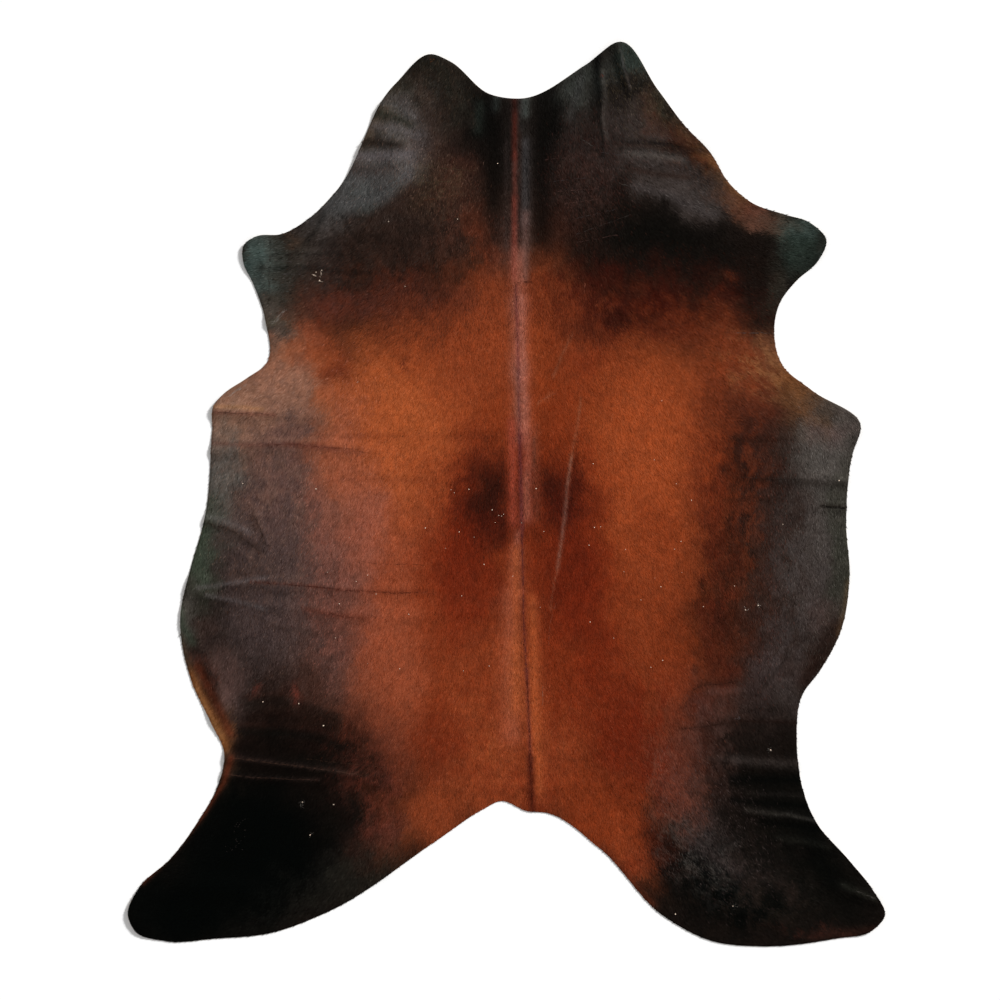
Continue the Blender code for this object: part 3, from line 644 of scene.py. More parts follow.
# Soft lines of colour. Columns: name, half-width, colour, cover, then the points that each
# passes.
STROKES = (
    # The left neck's bands across its folds: moss and dark brown lines are painted shade in them, dove,
    # slate and smoke lines painted sheen on their crests.
    ("left ear pale", 1.6, "dove", 0.4, (-30, 99), (-26, 98.4), (-22.5, 94)),
    ("left ear thin", 0.5, "slate", 0.6, (-31, 97.6), (-27, 97), (-24, 93.5)),
    ("left cheek dark band", 1.2, "moss", 0.75, (-34, 95.2), (-28, 94.4), (-24.4, 92.2)),
    ("left cheek upper band", 1.3, "dove", 0.6, (-33, 92), (-27.5, 91.4), (-22.5, 89.6)),
    ("left neck dark band", 1.5, "dark brown", 0.7, (-37.5, 87.6), (-32, 87.8), (-27, 86.8)),
    ("left neck pale band", 1.6, "dove", 0.95, (-38, 84.4), (-32, 84.4), (-24, 84.8)),
    ("left neck grey band", 1.4, "smoke", 0.6, (-38, 81), (-28, 81)),
    # Black lines of painted shade in the creases of the left foreleg.
    ("left fore crease high", 0.7, "black", 0.16, (-58, 60), (-50, 60.2), (-42, 60)),
    ("left fore crease low", 0.7, "black", 0.2, (-58, 56.4), (-50, 56.7), (-42, 55.8), (-34, 55.4)),
    ("left armpit ember", 0.8, "rust", 0.6, (-46.9, 43.5), (-46.9, 42.5)),
    ("left rim sage", 1.3, "lichen", 0.7, (-82, -28.5), (-81, -33), (-78.4, -37)),
    # Black lines of painted shade in the creases of the left throat.
    ("left throat crease", 0.6, "black", 0.25, (-45.5, 70.5), (-47.5, 66), (-50.5, 62.5)),
    ("left throat crease inner", 0.6, "black", 0.22, (-41.5, 70.5), (-39, 66), (-37, 63)),
    # Black lines of painted shade in the folds of the right neck.
    ("right cheek line high", 0.35, "black", 0.4, (29, 87.9), (36, 87.9), (43, 87)),
    ("right cheek line low", 0.35, "black", 0.3, (28.5, 86.2), (36, 85.7), (42, 84.6)),
    ("backbone foot", 2.4, "red brown", 0.28, (2.6, 3), (2.8, -9)),
    # A liver line of painted shade in a fold below the left elbow.
    ("left elbow fold low", 0.5, "liver", 0.5, (-55, 12.7), (-49, 12.2), (-42.5, 11.3)),
    # The wave on the left neck: the slate and dove along it are painted sheen; umber lies under its
    # foot.
    ("left neck wave", 2.3, "slate", 0.85, (-43, 72), (-35, 73.2), (-30, 75.4), (-25, 79.6)),
    ("left neck wave top", 2.2, "dove", 0.45, (-25, 80), (-22, 85), (-21, 90)),
    ("left neck wave foot", 1.5, "umber", 0.65, (-33, 68.6), (-27.5, 72), (-23.6, 76)),
    ("left ear teal", 1.2, "sea grey", 0.8, (-2.4, 99), (-2.7, 96.5)),
    ("left ear teal side", 1.6, "teal", 0.5, (-6.5, 97), (-7, 91)),
    ("left ear brown", 2.2, "umber", 0.4, (-22, 104), (-19, 97), (-17.5, 90)),
    # The right ear's folds: black lines are painted shade in their hollows; ash, slate and dove lines
    # painted highlight on their crests.
    ("right ear hollow", 1.6, "black", 0.3, (22.6, 110), (23, 98)),
    ("right ear crease", 0.5, "black", 0.35,
     (22.8, 109), (22.6, 103), (23.4, 99), (23.2, 94), (24.2, 89), (24, 84)),
    ("right ear pale", 0.6, "ash", 0.4, (24.2, 106), (24.9, 99), (24.2, 94), (25.2, 89)),
    ("right nape pale", 1.2, "slate", 0.4, (18.6, 104), (17.4, 99), (16, 94)),
    ("right ear line", 0.3, "dove", 0.45, (28, 113), (29.6, 106), (31, 101.5)),
    ("right ear dark", 0.9, "black", 0.3, (27, 112), (28.4, 104), (30.5, 99.5), (34, 102)),
    # right neck crease and second: umber painted shade in the neck's folds; right neck pale fold: ash
    # painted highlight on a crest; right neck pale low: dove painted sheen.
    ("right neck crease", 0.5, "umber", 0.55, (27, 87.4), (36, 87), (42, 86), (49, 85.8)),
    ("right neck pale fold", 0.9, "ash", 0.5, (30, 85.2), (38, 84.6), (44, 83.6)),
    ("right neck second", 0.7, "umber", 0.65, (31, 81.2), (38, 80), (46, 79)),
    ("right neck pale low", 1.4, "dove", 0.35, (32, 77), (40, 74.6), (52, 69.6)),
    # The backbone, from the nape to the tail. Its red, wine and black lines are the hair's own colour;
    # the pale pink, rose-tan and grey-blue bands beside them are painted sheen, where the hair parts
    # along the spine.
    ("neck black left", 2.4, "black", 0.35, (-3.2, 98), (-3.0, 80), (-3.2, 64)),
    ("neck black right", 2.8, "black", 0.4, (9.6, 100), (9.4, 84), (8.6, 64)),
    ("nape teal", 1.2, "sea grey", 0.9, (4.8, 98.8), (4.8, 95)),
    ("nape shade", 2.0, "black", 0.2, (2.2, 100), (2.2, 60)),
    ("nape haze", 3.0, "slate", 0.35, (3.4, 100), (3.2, 78), (3.4, 62)),
    ("nape red", 0.8, "oxblood", 0.6, (2.1, 99), (2.1, 84)),
    ("nape red middle", 0.7, "brick", 0.3, (2.2, 95), (2.1, 54)),
    ("nape red inner", 0.8, "brick", 0.3, (2.2, 85), (2.1, 54)),
    ("nape red low", 0.9, "brick", 0.45, (2.1, 74), (2.0, 54)),
    ("nape mauve", 0.6, "plum", 0.35, (0, 88), (0, 62)),
    ("nape dusk", 1.3, "umber", 0.4, (0, 75), (-0.2, 65)),
    ("nape gap", 0.5, "bistre", 0.7, (3.5, 90), (3.4, 60)),
    ("nape blue", 1.4, "grey blue", 0.55, (4.9, 88), (4.8, 68)),
    ("nape blue low", 1.2, "mauve", 0.7, (4.8, 70), (4.6, 54)),
    ("withers pink", 2.2, "pink", 0.8, (3.1, 48), (3.3, 30)),
    ("withers pink top", 2.0, "pink", 0.6, (2.8, 60), (3.2, 46)),
    ("backbone rose", 2.2, "pink", 0.8, (3.4, 32), (3.6, 14)),
    ("backbone dim", 2.0, "brick", 0.5, (4.4, 15), (4.8, -6)),
    ("backbone pale", 0.7, "pink", 0.6, (3.6, 50), (4.3, 34), (4.6, 16)),
    ("backbone plum", 0.4, "wine", 0.5, (2.4, 52), (3.0, 34), (3.3, 16)),
    ("backbone tip", 1.2, "salmon", 0.5, (4.6, 4), (4.4, -6)),
    ("backbone mauve", 0.8, "mauve", 0.25, (2.9, 30), (3.0, 13)),
    ("backbone pink", 1.0, "pink", 0.45, (5.2, 24), (5.4, 10), (5.4, -6)),
    ("loin red", 1.2, "coral", 0.85, (1.5, 18), (1.8, -7)),
    ("loin plum", 0.5, "wine", 0.75, (3.3, 15), (3.6, 4), (4.0, -9)),
    ("loin dusk", 1.1, "clay", 0.35, (7.4, 17), (7.6, -6)),
    ("loin grey", 0.5, "plum", 0.25, (6.9, 14), (6.9, 7)),
    ("loin pale top", 1.2, "pink", 0.6, (2.9, -10), (2.3, -22)),
    ("loin pale", 2.0, "rose tan", 0.9, (2.4, -15), (2.2, -26)),
    ("loin pale low", 3.0, "rose tan", 1.0, (1.4, -26), (1.4, -60)),
    ("loin red right", 1.6, "red brown", 0.3, (8.2, -28), (8.4, -38)),
    ("loin pale right", 1.8, "fawn", 0.5, (6.2, -42), (6.6, -60)),
    ("loin glow low", 2.2, "fawn", 0.5, (2.4, -38), (2.6, -54)),
    ("loin pale bright", 1.1, "fawn", 0.45, (2.6, -14), (2.6, -34), (2.8, -52)),
    ("loin orange", 2.2, "sienna", 0.8, (7.0, -28), (7.8, -50), (8.6, -76)),
    ("loin line soft", 0.5, "wine", 0.26, (3.9, -9), (4.3, -30), (5.2, -46)),
    ("tail line soft", 0.5, "wine", 0.5, (5.1, -44), (5.4, -50), (6.2, -69)),
    ("loin fawn", 1.2, "fawn", 0.5, (6.4, -26), (7.2, -46), (8.0, -74)),
    ("tail dark", 1.0, "oxblood", 0.6, (5.9, -66), (6.5, -80)),
    ("left rim khaki", 1.6, "khaki", 0.5, (-82, -37), (-80, -43), (-78, -47)),
    ("left rim straw", 1.8, "bronze", 0.85, (-79.4, -45), (-77.6, -48.5), (-73.4, -56), (-70.4, -63)),
    ("left rim russet", 1.1, "rust", 0.6, (-77, -43), (-74, -49), (-70.8, -55.5), (-69, -60)),
    ("left rim straw bright", 0.8, "straw", 0.6, (-77.6, -49), (-74, -55.5), (-71, -61)),
    # The folds of the left flank and belly: the liver, umber and russet lines are painted shade in
    # them, the straw, dun and dove lines painted highlight beside them.
    ("left elbow fold pale", 0.5, "straw", 0.4, (-73, 21.9), (-66, 21.7), (-61, 21.2)),
    ("left elbow fold", 0.5, "liver", 0.45, (-73, 20.4), (-64, 20), (-58, 19.8)),
    ("left flank fold", 0.6, "liver", 0.35,
     (-74, 12.8), (-66, 12.2), (-57, 12.4), (-48, 11.6), (-36, 10.4)),
    ("left flank fold pale", 0.6, "dun", 0.2, (-74, 14.4), (-60, 13.8), (-48, 13.4)),
    ("left flank bend", 0.7, "umber", 0.3,
     (-75.5, -7), (-71, -8.4), (-67.8, -9.5), (-64, -12.2), (-61, -14.6)),
    ("left flank bend pale", 0.8, "dove", 0.35, (-75.5, -5.4), (-69, -7.2), (-64, -9.4)),
    ("left flank nick", 0.4, "umber", 0.4, (-63.3, -4.7), (-61.4, -9), (-60.4, -12.7)),
    ("left belly pale", 0.5, "dove", 0.6, (-77, -23.4), (-72, -22.8), (-66, -21.8), (-60, -21)),
    ("left belly fold", 0.3, "russet", 0.4,
     (-64, -21.9), (-56, -22.4), (-50, -22.8), (-44, -23.8), (-37.6, -24), (-29, -24.6), (-20, -24.3)),
    ("left belly second", 0.6, "russet", 0.35, (-50, -28.8), (-42, -30.4), (-35, -31)),
    ("left belly second pale", 0.5, "dove", 0.55, (-75, -25.2), (-67, -26.8), (-60, -28.8)),
    ("left belly third", 0.6, "umber", 0.25, (-60, -33), (-50, -34.5), (-40, -35)),
    ("left groin edge", 1.4, "soot", 0.25, (-64, -52.6), (-58, -51.6), (-49, -53.2), (-42, -56)),
    ("left groin arc", 0.5, "rose brown", 0.1,
     (-64.2, -50.6), (-58, -49.8), (-49.3, -51.4), (-41.8, -54)),
    ("left groin line", 0.3, "mauve", 0.3, (-68.7, -65.8), (-60, -66.8), (-50.9, -68.1), (-38, -69.8)),
    ("left groin line low", 0.28, "mauve", 0.28, (-70, -70), (-63.3, -70.8), (-46.8, -71.4)),
    # left groin fold: an umber line of painted shade in the fold of the left thigh.
    ("left groin fold", 0.5, "umber", 0.35, (-68.7, -65.4), (-60, -67), (-50.9, -67.8), (-34.7, -70.2)),
    # Faint folds across the middle of the back: russet lines of painted shade.
    ("centre fold high", 0.7, "russet", 0.16, (-40, 14.6), (-10, 14.2), (0, 14.4)),
    ("centre fold", 0.7, "russet", 0.14, (-44, 3.6), (-20, 3.2)),
    ("centre fold low", 0.7, "russet", 0.2, (-22, -24.6), (-8, -26.2), (8, -28.4)),
    ("right rim brown", 2.2, "bistre", 0.55, (83, -33), (79, -40), (74.5, -47)),
    ("right rim tan", 0.8, "olive", 0.35, (85.4, -22), (84.6, -29), (83, -35)),
    # right flank crease and right flank fold: dark brown lines of painted shade in the creases.
    ("right flank crease", 0.4, "dark brown", 0.6, (78.5, -3), (82, -3.1), (86, -3.4)),
    ("right flank fold", 0.8, "dark brown", 0.3, (60, 3.6), (70, 3.4), (85.5, 2.2)),
    ("right flank streak", 0.8, "bistre", 0.4, (57, 13.8), (64, 13.2), (71, 13.6)),
    ("right flank low streak", 0.8, "bistre", 0.35, (54.7, -1.5), (60, -1.2), (68.5, -1.8)),
    # The creases of the right stifle and thigh: bistre and dark brown lines are painted shade in them,
    # the mauve line painted highlight beside one.
    ("right stifle crease", 0.5, "bistre", 0.35,
     (46.6, -49.2), (50, -47.3), (54, -47.6), (57.4, -46.8)),
    ("right stifle pale", 0.9, "mauve", 0.4, (51, -49.4), (58, -49)),
    ("right stifle slant", 0.6, "dark brown", 0.3, (62.7, -50.2), (66, -46), (71, -39.5)),
    ("right thigh crease", 0.5, "bistre", 0.35,
     (43.8, -58.7), (51, -57.8), (58.3, -56.6), (67.4, -56.8), (72.4, -57.2)),
    ("right loin scratch high", 0.3, "dun", 0.35, (18.8, 24), (17.8, 17), (16.3, 9)),
    ("right loin scratch", 0.45, "pale", 0.32, (16.3, 9), (15.3, 2), (14.5, -6.7), (12.8, -18.8)),
    ("right loin scratch end", 0.25, "dun", 0.35, (12.8, -18.8), (11.6, -24), (11.2, -29)),
    ("right loin scratch shade", 0.6, "oxblood", 0.4, (17.6, 10), (16.6, 2), (15.8, -6)),
    ("right withers scratch", 0.35, "dun", 0.25, (16.7, 40.3), (14, 34.8), (11.8, 29.2)),
    ("right withers scratch low", 0.25, "dun", 0.35, (12.5, 25.6), (7.9, 22.6)),
    ("right inner rim", 1.6, "rust", 0.7, (24, -89), (30, -96.5), (36, -102.5)),
    ("right hind rim", 1.4, "cocoa", 0.6, (77, -110.5), (92, -109)),
    # The bands across the right hind leg, along its folds: smoke and ash lines are painted sheen, black
    # and dark brown lines painted shade.
    ("right thigh pale root", 1.0, "smoke", 0.25, (50, -66), (58, -66.4)),
    ("right thigh dark root", 0.8, "dark brown", 0.35, (49, -71.6), (58, -71.4)),
    ("right thigh low root", 0.7, "dark brown", 0.3, (50, -75.6), (57, -76.6)),
    ("right hock root", 0.7, "dark brown", 0.4, (54, -79.4), (64, -82)),
    ("right thigh pale", 1.3, "smoke", 0.5, (57, -66.4), (65, -67), (72.5, -67.6)),
    ("right thigh faint", 0.5, "smoke", 0.25, (60, -74.6), (74.5, -75.4)),
    ("right thigh dark", 1.3, "black", 0.7, (57, -71.4), (66, -71.4), (75, -71.6)),
    ("right thigh dark low", 0.8, "black", 0.6, (57, -76.6), (66, -77.4), (76, -78)),
    ("right hock pale", 0.5, "ash", 0.42, (60, -79), (66, -79.8), (71, -80.2), (77, -81.6)),
    ("right hock shade", 0.8, "black", 0.6, (64, -82), (72, -83), (78, -84)),
    ("right hock green", 0.8, "moss", 0.35, (68, -86), (75, -87), (81, -88.4)),
    ("right foot green", 0.8, "moss", 0.6, (84, -97.6), (88, -99.4), (92, -101)),
    ("right hind mauve", 2.2, "plum", 0.4, (46, -87), (52, -91), (58, -94)),
    ("left hind rim", 0.9, "rust", 0.75,
     (-68.8, -66), (-70.6, -72), (-76, -80.4), (-83.6, -89.6), (-91, -97)),
    ("left groin step", 1.0, "soot", 0.5, (-66, -59.5), (-58, -59.8), (-48, -60.8), (-40, -63.4)),
    ("left groin ridge", 0.6, "liver", 0.12, (-66, -57.4), (-57, -57.8), (-47, -59), (-39, -61)),
)

# Crisp lines, of single hairs laid along them. Columns as for the soft ones.
HAIR_LINES = (
    # The backbone.
    ("loin line", 0.17, "wine", 0.75, (3.9, -9), (4.2, -20), (4.3, -30), (5.2, -46)),
    ("tail line", 0.2, "oxblood", 0.75, (5.2, -46), (6.2, -69), (6.4, -78)),
    ("nape curve", 0.2, "black", 0.6, (2.7, 87.3), (5, 83.5), (5.7, 73.5)),
    ("withers mark", 0.25, "oxblood", 0.7, (2.6, 53), (6.2, 53.1)),
    ("loin hairline", 0.12, "dun", 0.6, (9.1, -47.5), (9.1, -52.5)),
    # Scratches.
    ("withers scratch", 0.12, "salmon", 0.6, (19.7, 52.8), (19.5, 50.3)),
    ("right lobe scratch", 0.12, "salmon", 0.3, (16.7, 40.3), (14, 34.8), (12, 30.5), (11, 29)),
    ("right kidney scratch", 0.12, "salmon", 0.5, (12.5, 25.3), (7.7, 23)),
    ("right rump scratch", 0.12, "salmon", 0.4, (12.6, -26.7), (11, -32), (10.7, -36), (10.6, -42)),
    # The neck.
    ("right nape hairline", 0.12, "ash", 0.7, (18.5, 89), (21.5, 87)),
    ("right nape brushed one", 0.12, "dove", 0.35, (11.8, 78.2), (19.5, 79)),
    ("right nape brushed two", 0.12, "mauve", 0.5, (12.6, 75.6), (23, 76.4)),
    ("right nape brushed three", 0.12, "mauve", 0.5, (13.6, 72.4), (25, 74)),
    ("right nape brushed four", 0.12, "dove", 0.3, (16, 68.6), (27.4, 71.2)),
    ("right nape brushed five", 0.12, "mauve", 0.4, (9.8, 83.6), (17, 84.2)),
    ("right nape brushed six", 0.12, "mauve", 0.4, (17, 62.8), (28, 64.8)),
    ("right throat brushed", 0.12, "dove", 0.35, (23.5, 85.4), (28.4, 84.8)),
    ("left nape brushed one", 0.12, "clay", 0.35, (-21, 73.4), (-12, 74.6)),
    ("left nape brushed two", 0.12, "khaki", 0.5, (-24, 77.8), (-14, 78.2)),
    ("left nape brushed three", 0.12, "khaki", 0.4, (-17, 81.6), (-8, 80.8)),
    ("left nape brushed four", 0.12, "clay", 0.35, (-16, 68.2), (-9, 70.4)),
    ("left shoulder scratch", 0.12, "smoke", 0.5, (-26, 55.6), (-17.8, 61.6)),
    ("right neck hairline", 0.12, "ash", 0.6, (28, 77.8), (31, 76.8)),
    ("right shoulder hairline", 0.12, "smoke", 0.6, (17.2, 64.8), (31, 69.8)),
    # The forelegs.
    ("left fore nick top", 0.1, "lint", 0.45, (-48.6, 54.9), (-47.6, 54.6)),
    ("left fore nick side", 0.1, "lint", 0.35, (-46.3, 55.8), (-46.2, 54.9)),
    ("left fore nick foot", 0.1, "lint", 0.35, (-47.2, 53.4), (-46.4, 53.2)),
    ("left elbow rim white", 0.25, "pale", 0.6, (-69.6, 24.2), (-67.8, 25.7), (-65, 27.3)),
    # left fore hem: a dark brown line of painted shade along the foreleg's hem fold; left fore
    # hairlines and left armpit arc: dove and pale lines of painted highlight beside the creases.
    ("left fore hairline high", 0.12, "dove", 0.5, (-57.8, 58.4), (-53.4, 58)),
    ("left fore hairline low", 0.12, "dove", 0.5, (-56.5, 55), (-51.6, 55)),
    ("left fore hem", 0.2, "dark brown", 0.5, (-59, 63.5), (-59.2, 48.5)),
    ("left armpit arc", 0.35, "pale", 0.4, (-59.6, 42.6), (-57.6, 43.2), (-55.2, 46.2)),
    ("right fore hairline", 0.15, "ash", 0.6, (57.2, 40.3), (66.7, 40.3)),
    # The left flank. Its fold, crease, bend and nick lines are painted shade in the folds.
    ("left flank fold", 0.12, "russet", 0.4,
     (-60, 12.2), (-53, 12.6), (-47, 11.8), (-39, 11.4), (-34, 10.2)),
    ("left elbow crease", 0.12, "umber", 0.5, (-73, 20.6), (-67, 20.2), (-62, 20.4), (-58, 19.6)),
    ("left belly fold", 0.15, "oxblood", 0.5,
     (-60, -22.2), (-53, -22.8), (-47, -23.2), (-40, -24.1), (-34, -24.2), (-28, -24.8), (-22, -24.5)),
    ("left belly second", 0.12, "russet", 0.4, (-45, -29.3), (-41, -30.6), (-36.8, -31)),
    ("left lobe fold", 0.12, "russet", 0.4, (-37, -16.6), (-31, -17.6), (-24, -17.4), (-20, -17.8)),
    ("left flank bend", 0.15, "bistre", 0.3,
     (-75, -7), (-71, -8.2), (-67.6, -9.6), (-64, -12.4), (-61, -14.8)),
    ("left flank nick", 0.12, "bistre", 0.25, (-63.3, -4.7), (-61.6, -8), (-59.8, -12.7)),
    ("left groin white", 0.12, "dun", 0.12, (-68.7, -65.8), (-50.9, -68.1), (-34.7, -70.4)),
    ("left groin second", 0.12, "dun", 0.1, (-70, -70), (-63.3, -70.8), (-46.8, -71.4)),
    ("left groin third", 0.12, "dun", 0.12, (-50, -66.2), (-30.6, -68.3)),
    # The right flank. Its crease lines are painted shade in the creases; the right flank hairline is
    # painted highlight on the crest of the elbow fold.
    ("right flank crease", 0.25, "black", 0.8, (78.6, -2.9), (81, -3.2), (85.4, -3.5)),
    ("right stifle crease", 0.12, "dark brown", 0.35,
     (46.8, -49), (49, -47.6), (53, -47.6), (57, -46.8)),
    ("right thigh crease", 0.12, "bistre", 0.35,
     (44, -58.7), (50, -58), (58, -56.7), (67, -56.9), (72, -57.2)),
    ("right flank hairline", 0.12, "ash", 0.15, (58.5, 4.3), (85.5, 3)),
    ("right hock streak", 0.2, "ash", 0.5, (86.7, -98.8), (92, -100.9)),
)

# Specks of pale lint caught in the coat. Columns: x, y, size in mm.
SPECKS = (
    # The legs and flanks.
    (-48.3, 54.8, 3.4), (-46.0, 55.8, 2.8), (-46.5, 53.3, 3.2), (-47.5, 55.3, 2.8),
    (-46.6, 54.2, 2.2), (-47.3, 1.3, 3.2), (-66.0, 2.8, 2.8), (-51.0, -77.2, 3.6),
    (-52.0, -52.2, 3.4), (-61.0, -52.0, 3.4), (-45.5, -57.7, 3.4), (-43.3, -77.7, 3.5),
    (-48.8, -85.0, 3.4), (69.2, -7.7, 2.6), (83.2, 3.6, 2.8), (59.7, -28.7, 3.4),
    (63.0, -28.0, 3.4), (66.0, -63.7, 3.6), (56.6, -103.1, 3.2), (42.5, -105.0, 3.2),
    # The neck and shoulders.
    (-25.5, 51.8, 3.2), (-2.0, 82.6, 2.4), (-12.3, 68.8, 2.4), (-29.5, 68.0, 2.6),
    (-37.0, 28.0, 2.2), (38.7, 23.3, 2.6),
    # Beside the backbone.
    (-9.3, 1.4, 2.6), (-13.0, 0.2, 2.4), (-13.8, 1.3, 1.9), (-3.4, -3.8, 2.4),
    (-2.0, -5.3, 2.4), (-1.2, -5.6, 2.4), (-0.6, -4.9, 2.0), (-2.6, -7.0, 2.0),
    (-8.1, -10.8, 2.0), (-11.6, -9.4, 2.2), (-15.3, -13.5, 2.0), (-5.6, -17.4, 2.6),
    (1.7, -20.6, 2.2), (-11.0, -25.3, 2.1), (-10.6, -44.3, 2.6), (-4.3, -42.8, 2.2),
    (7.5, 1.6, 2.8), (3.8, -7.3, 2.4), (9.4, -9.2, 1.9), (8.4, -28.2, 1.9),
    # The left lobe.
    (-20.1, -8.3, 2.6), (-34.7, -20.1, 2.2), (-37.4, -21.9, 2.2), (-44.8, -19.6, 2.4),
    (-41.7, -27.2, 2.5), (-32.5, -24.8, 1.9), (-24.2, -29.9, 2.2), (-42.8, -35.8, 2.2),
    (-34.7, -42.5, 2.1), (-26.5, -43.6, 2.1), (-39.3, -10.9, 1.9),
    # The right lobe.
    (21.7, 7.8, 2.6), (37.0, 8.5, 2.2), (42.4, 2.5, 2.7), (46.2, -1.3, 2.8),
    (22.2, -8.3, 2.4), (23.7, -8.0, 2.0), (43.6, -11.6, 2.7), (20.7, -12.6, 2.1),
    (29.6, -13.8, 2.7), (42.0, -13.6, 2.0), (29.3, -19.3, 2.1), (43.8, -19.7, 2.1),
    (37.0, -21.0, 2.1), (38.5, -23.0, 2.8), (57.2, -23.0, 2.0), (33.6, -26.3, 2.0),
    (49.2, -28.0, 2.1), (21.0, -31.8, 2.2), (27.0, -36.0, 2.0), (39.2, -41.3, 2.8),
    (36.3, -43.2, 2.0),
)

# Small tufts of pale lint. Columns: x, y, half width, half height, number of hairs, colour.
LINT_TUFTS = (
    (-51.0, -77.3, 0.5, 0.8, 26, "ash"),
    (65.8, -63.8, 0.5, 0.9, 22, "ash"),
    (57.8, -55.8, 0.8, 0.6, 14, "dove"),
    (57.2, -103.0, 0.5, 0.5, 12, "ash"),
    (60.4, -28.6, 0.6, 0.5, 6, "pale"),
    (63.0, -28.2, 0.3, 0.8, 5, "pale"),
    (70.5, 31.0, 1.4, 1.0, 16, "dun"),
    (-67.0, -82.5, 1.4, 1.6, 14, "smoke"),
    (-67.5, -87.5, 1.8, 1.6, 14, "smoke"),
    (-48.8, -85.0, 0.5, 0.5, 8, "ash"),
    (27.0, 103.5, 1.0, 3.0, 16, "khaki"),
    (23.7, 104.6, 0.35, 0.4, 8, "brick"),
    (-24.0, 106.3, 0.4, 0.4, 6, "bronze"),
    (-18.8, 108.3, 0.4, 0.4, 6, "bronze"),
    (37.0, 99.0, 1.4, 3.4, 22, "khaki"),
    (-42.0, 66.6, 0.5, 0.9, 8, "ash"),
    (-40.8, 65.6, 0.3, 0.5, 5, "ash"),
)

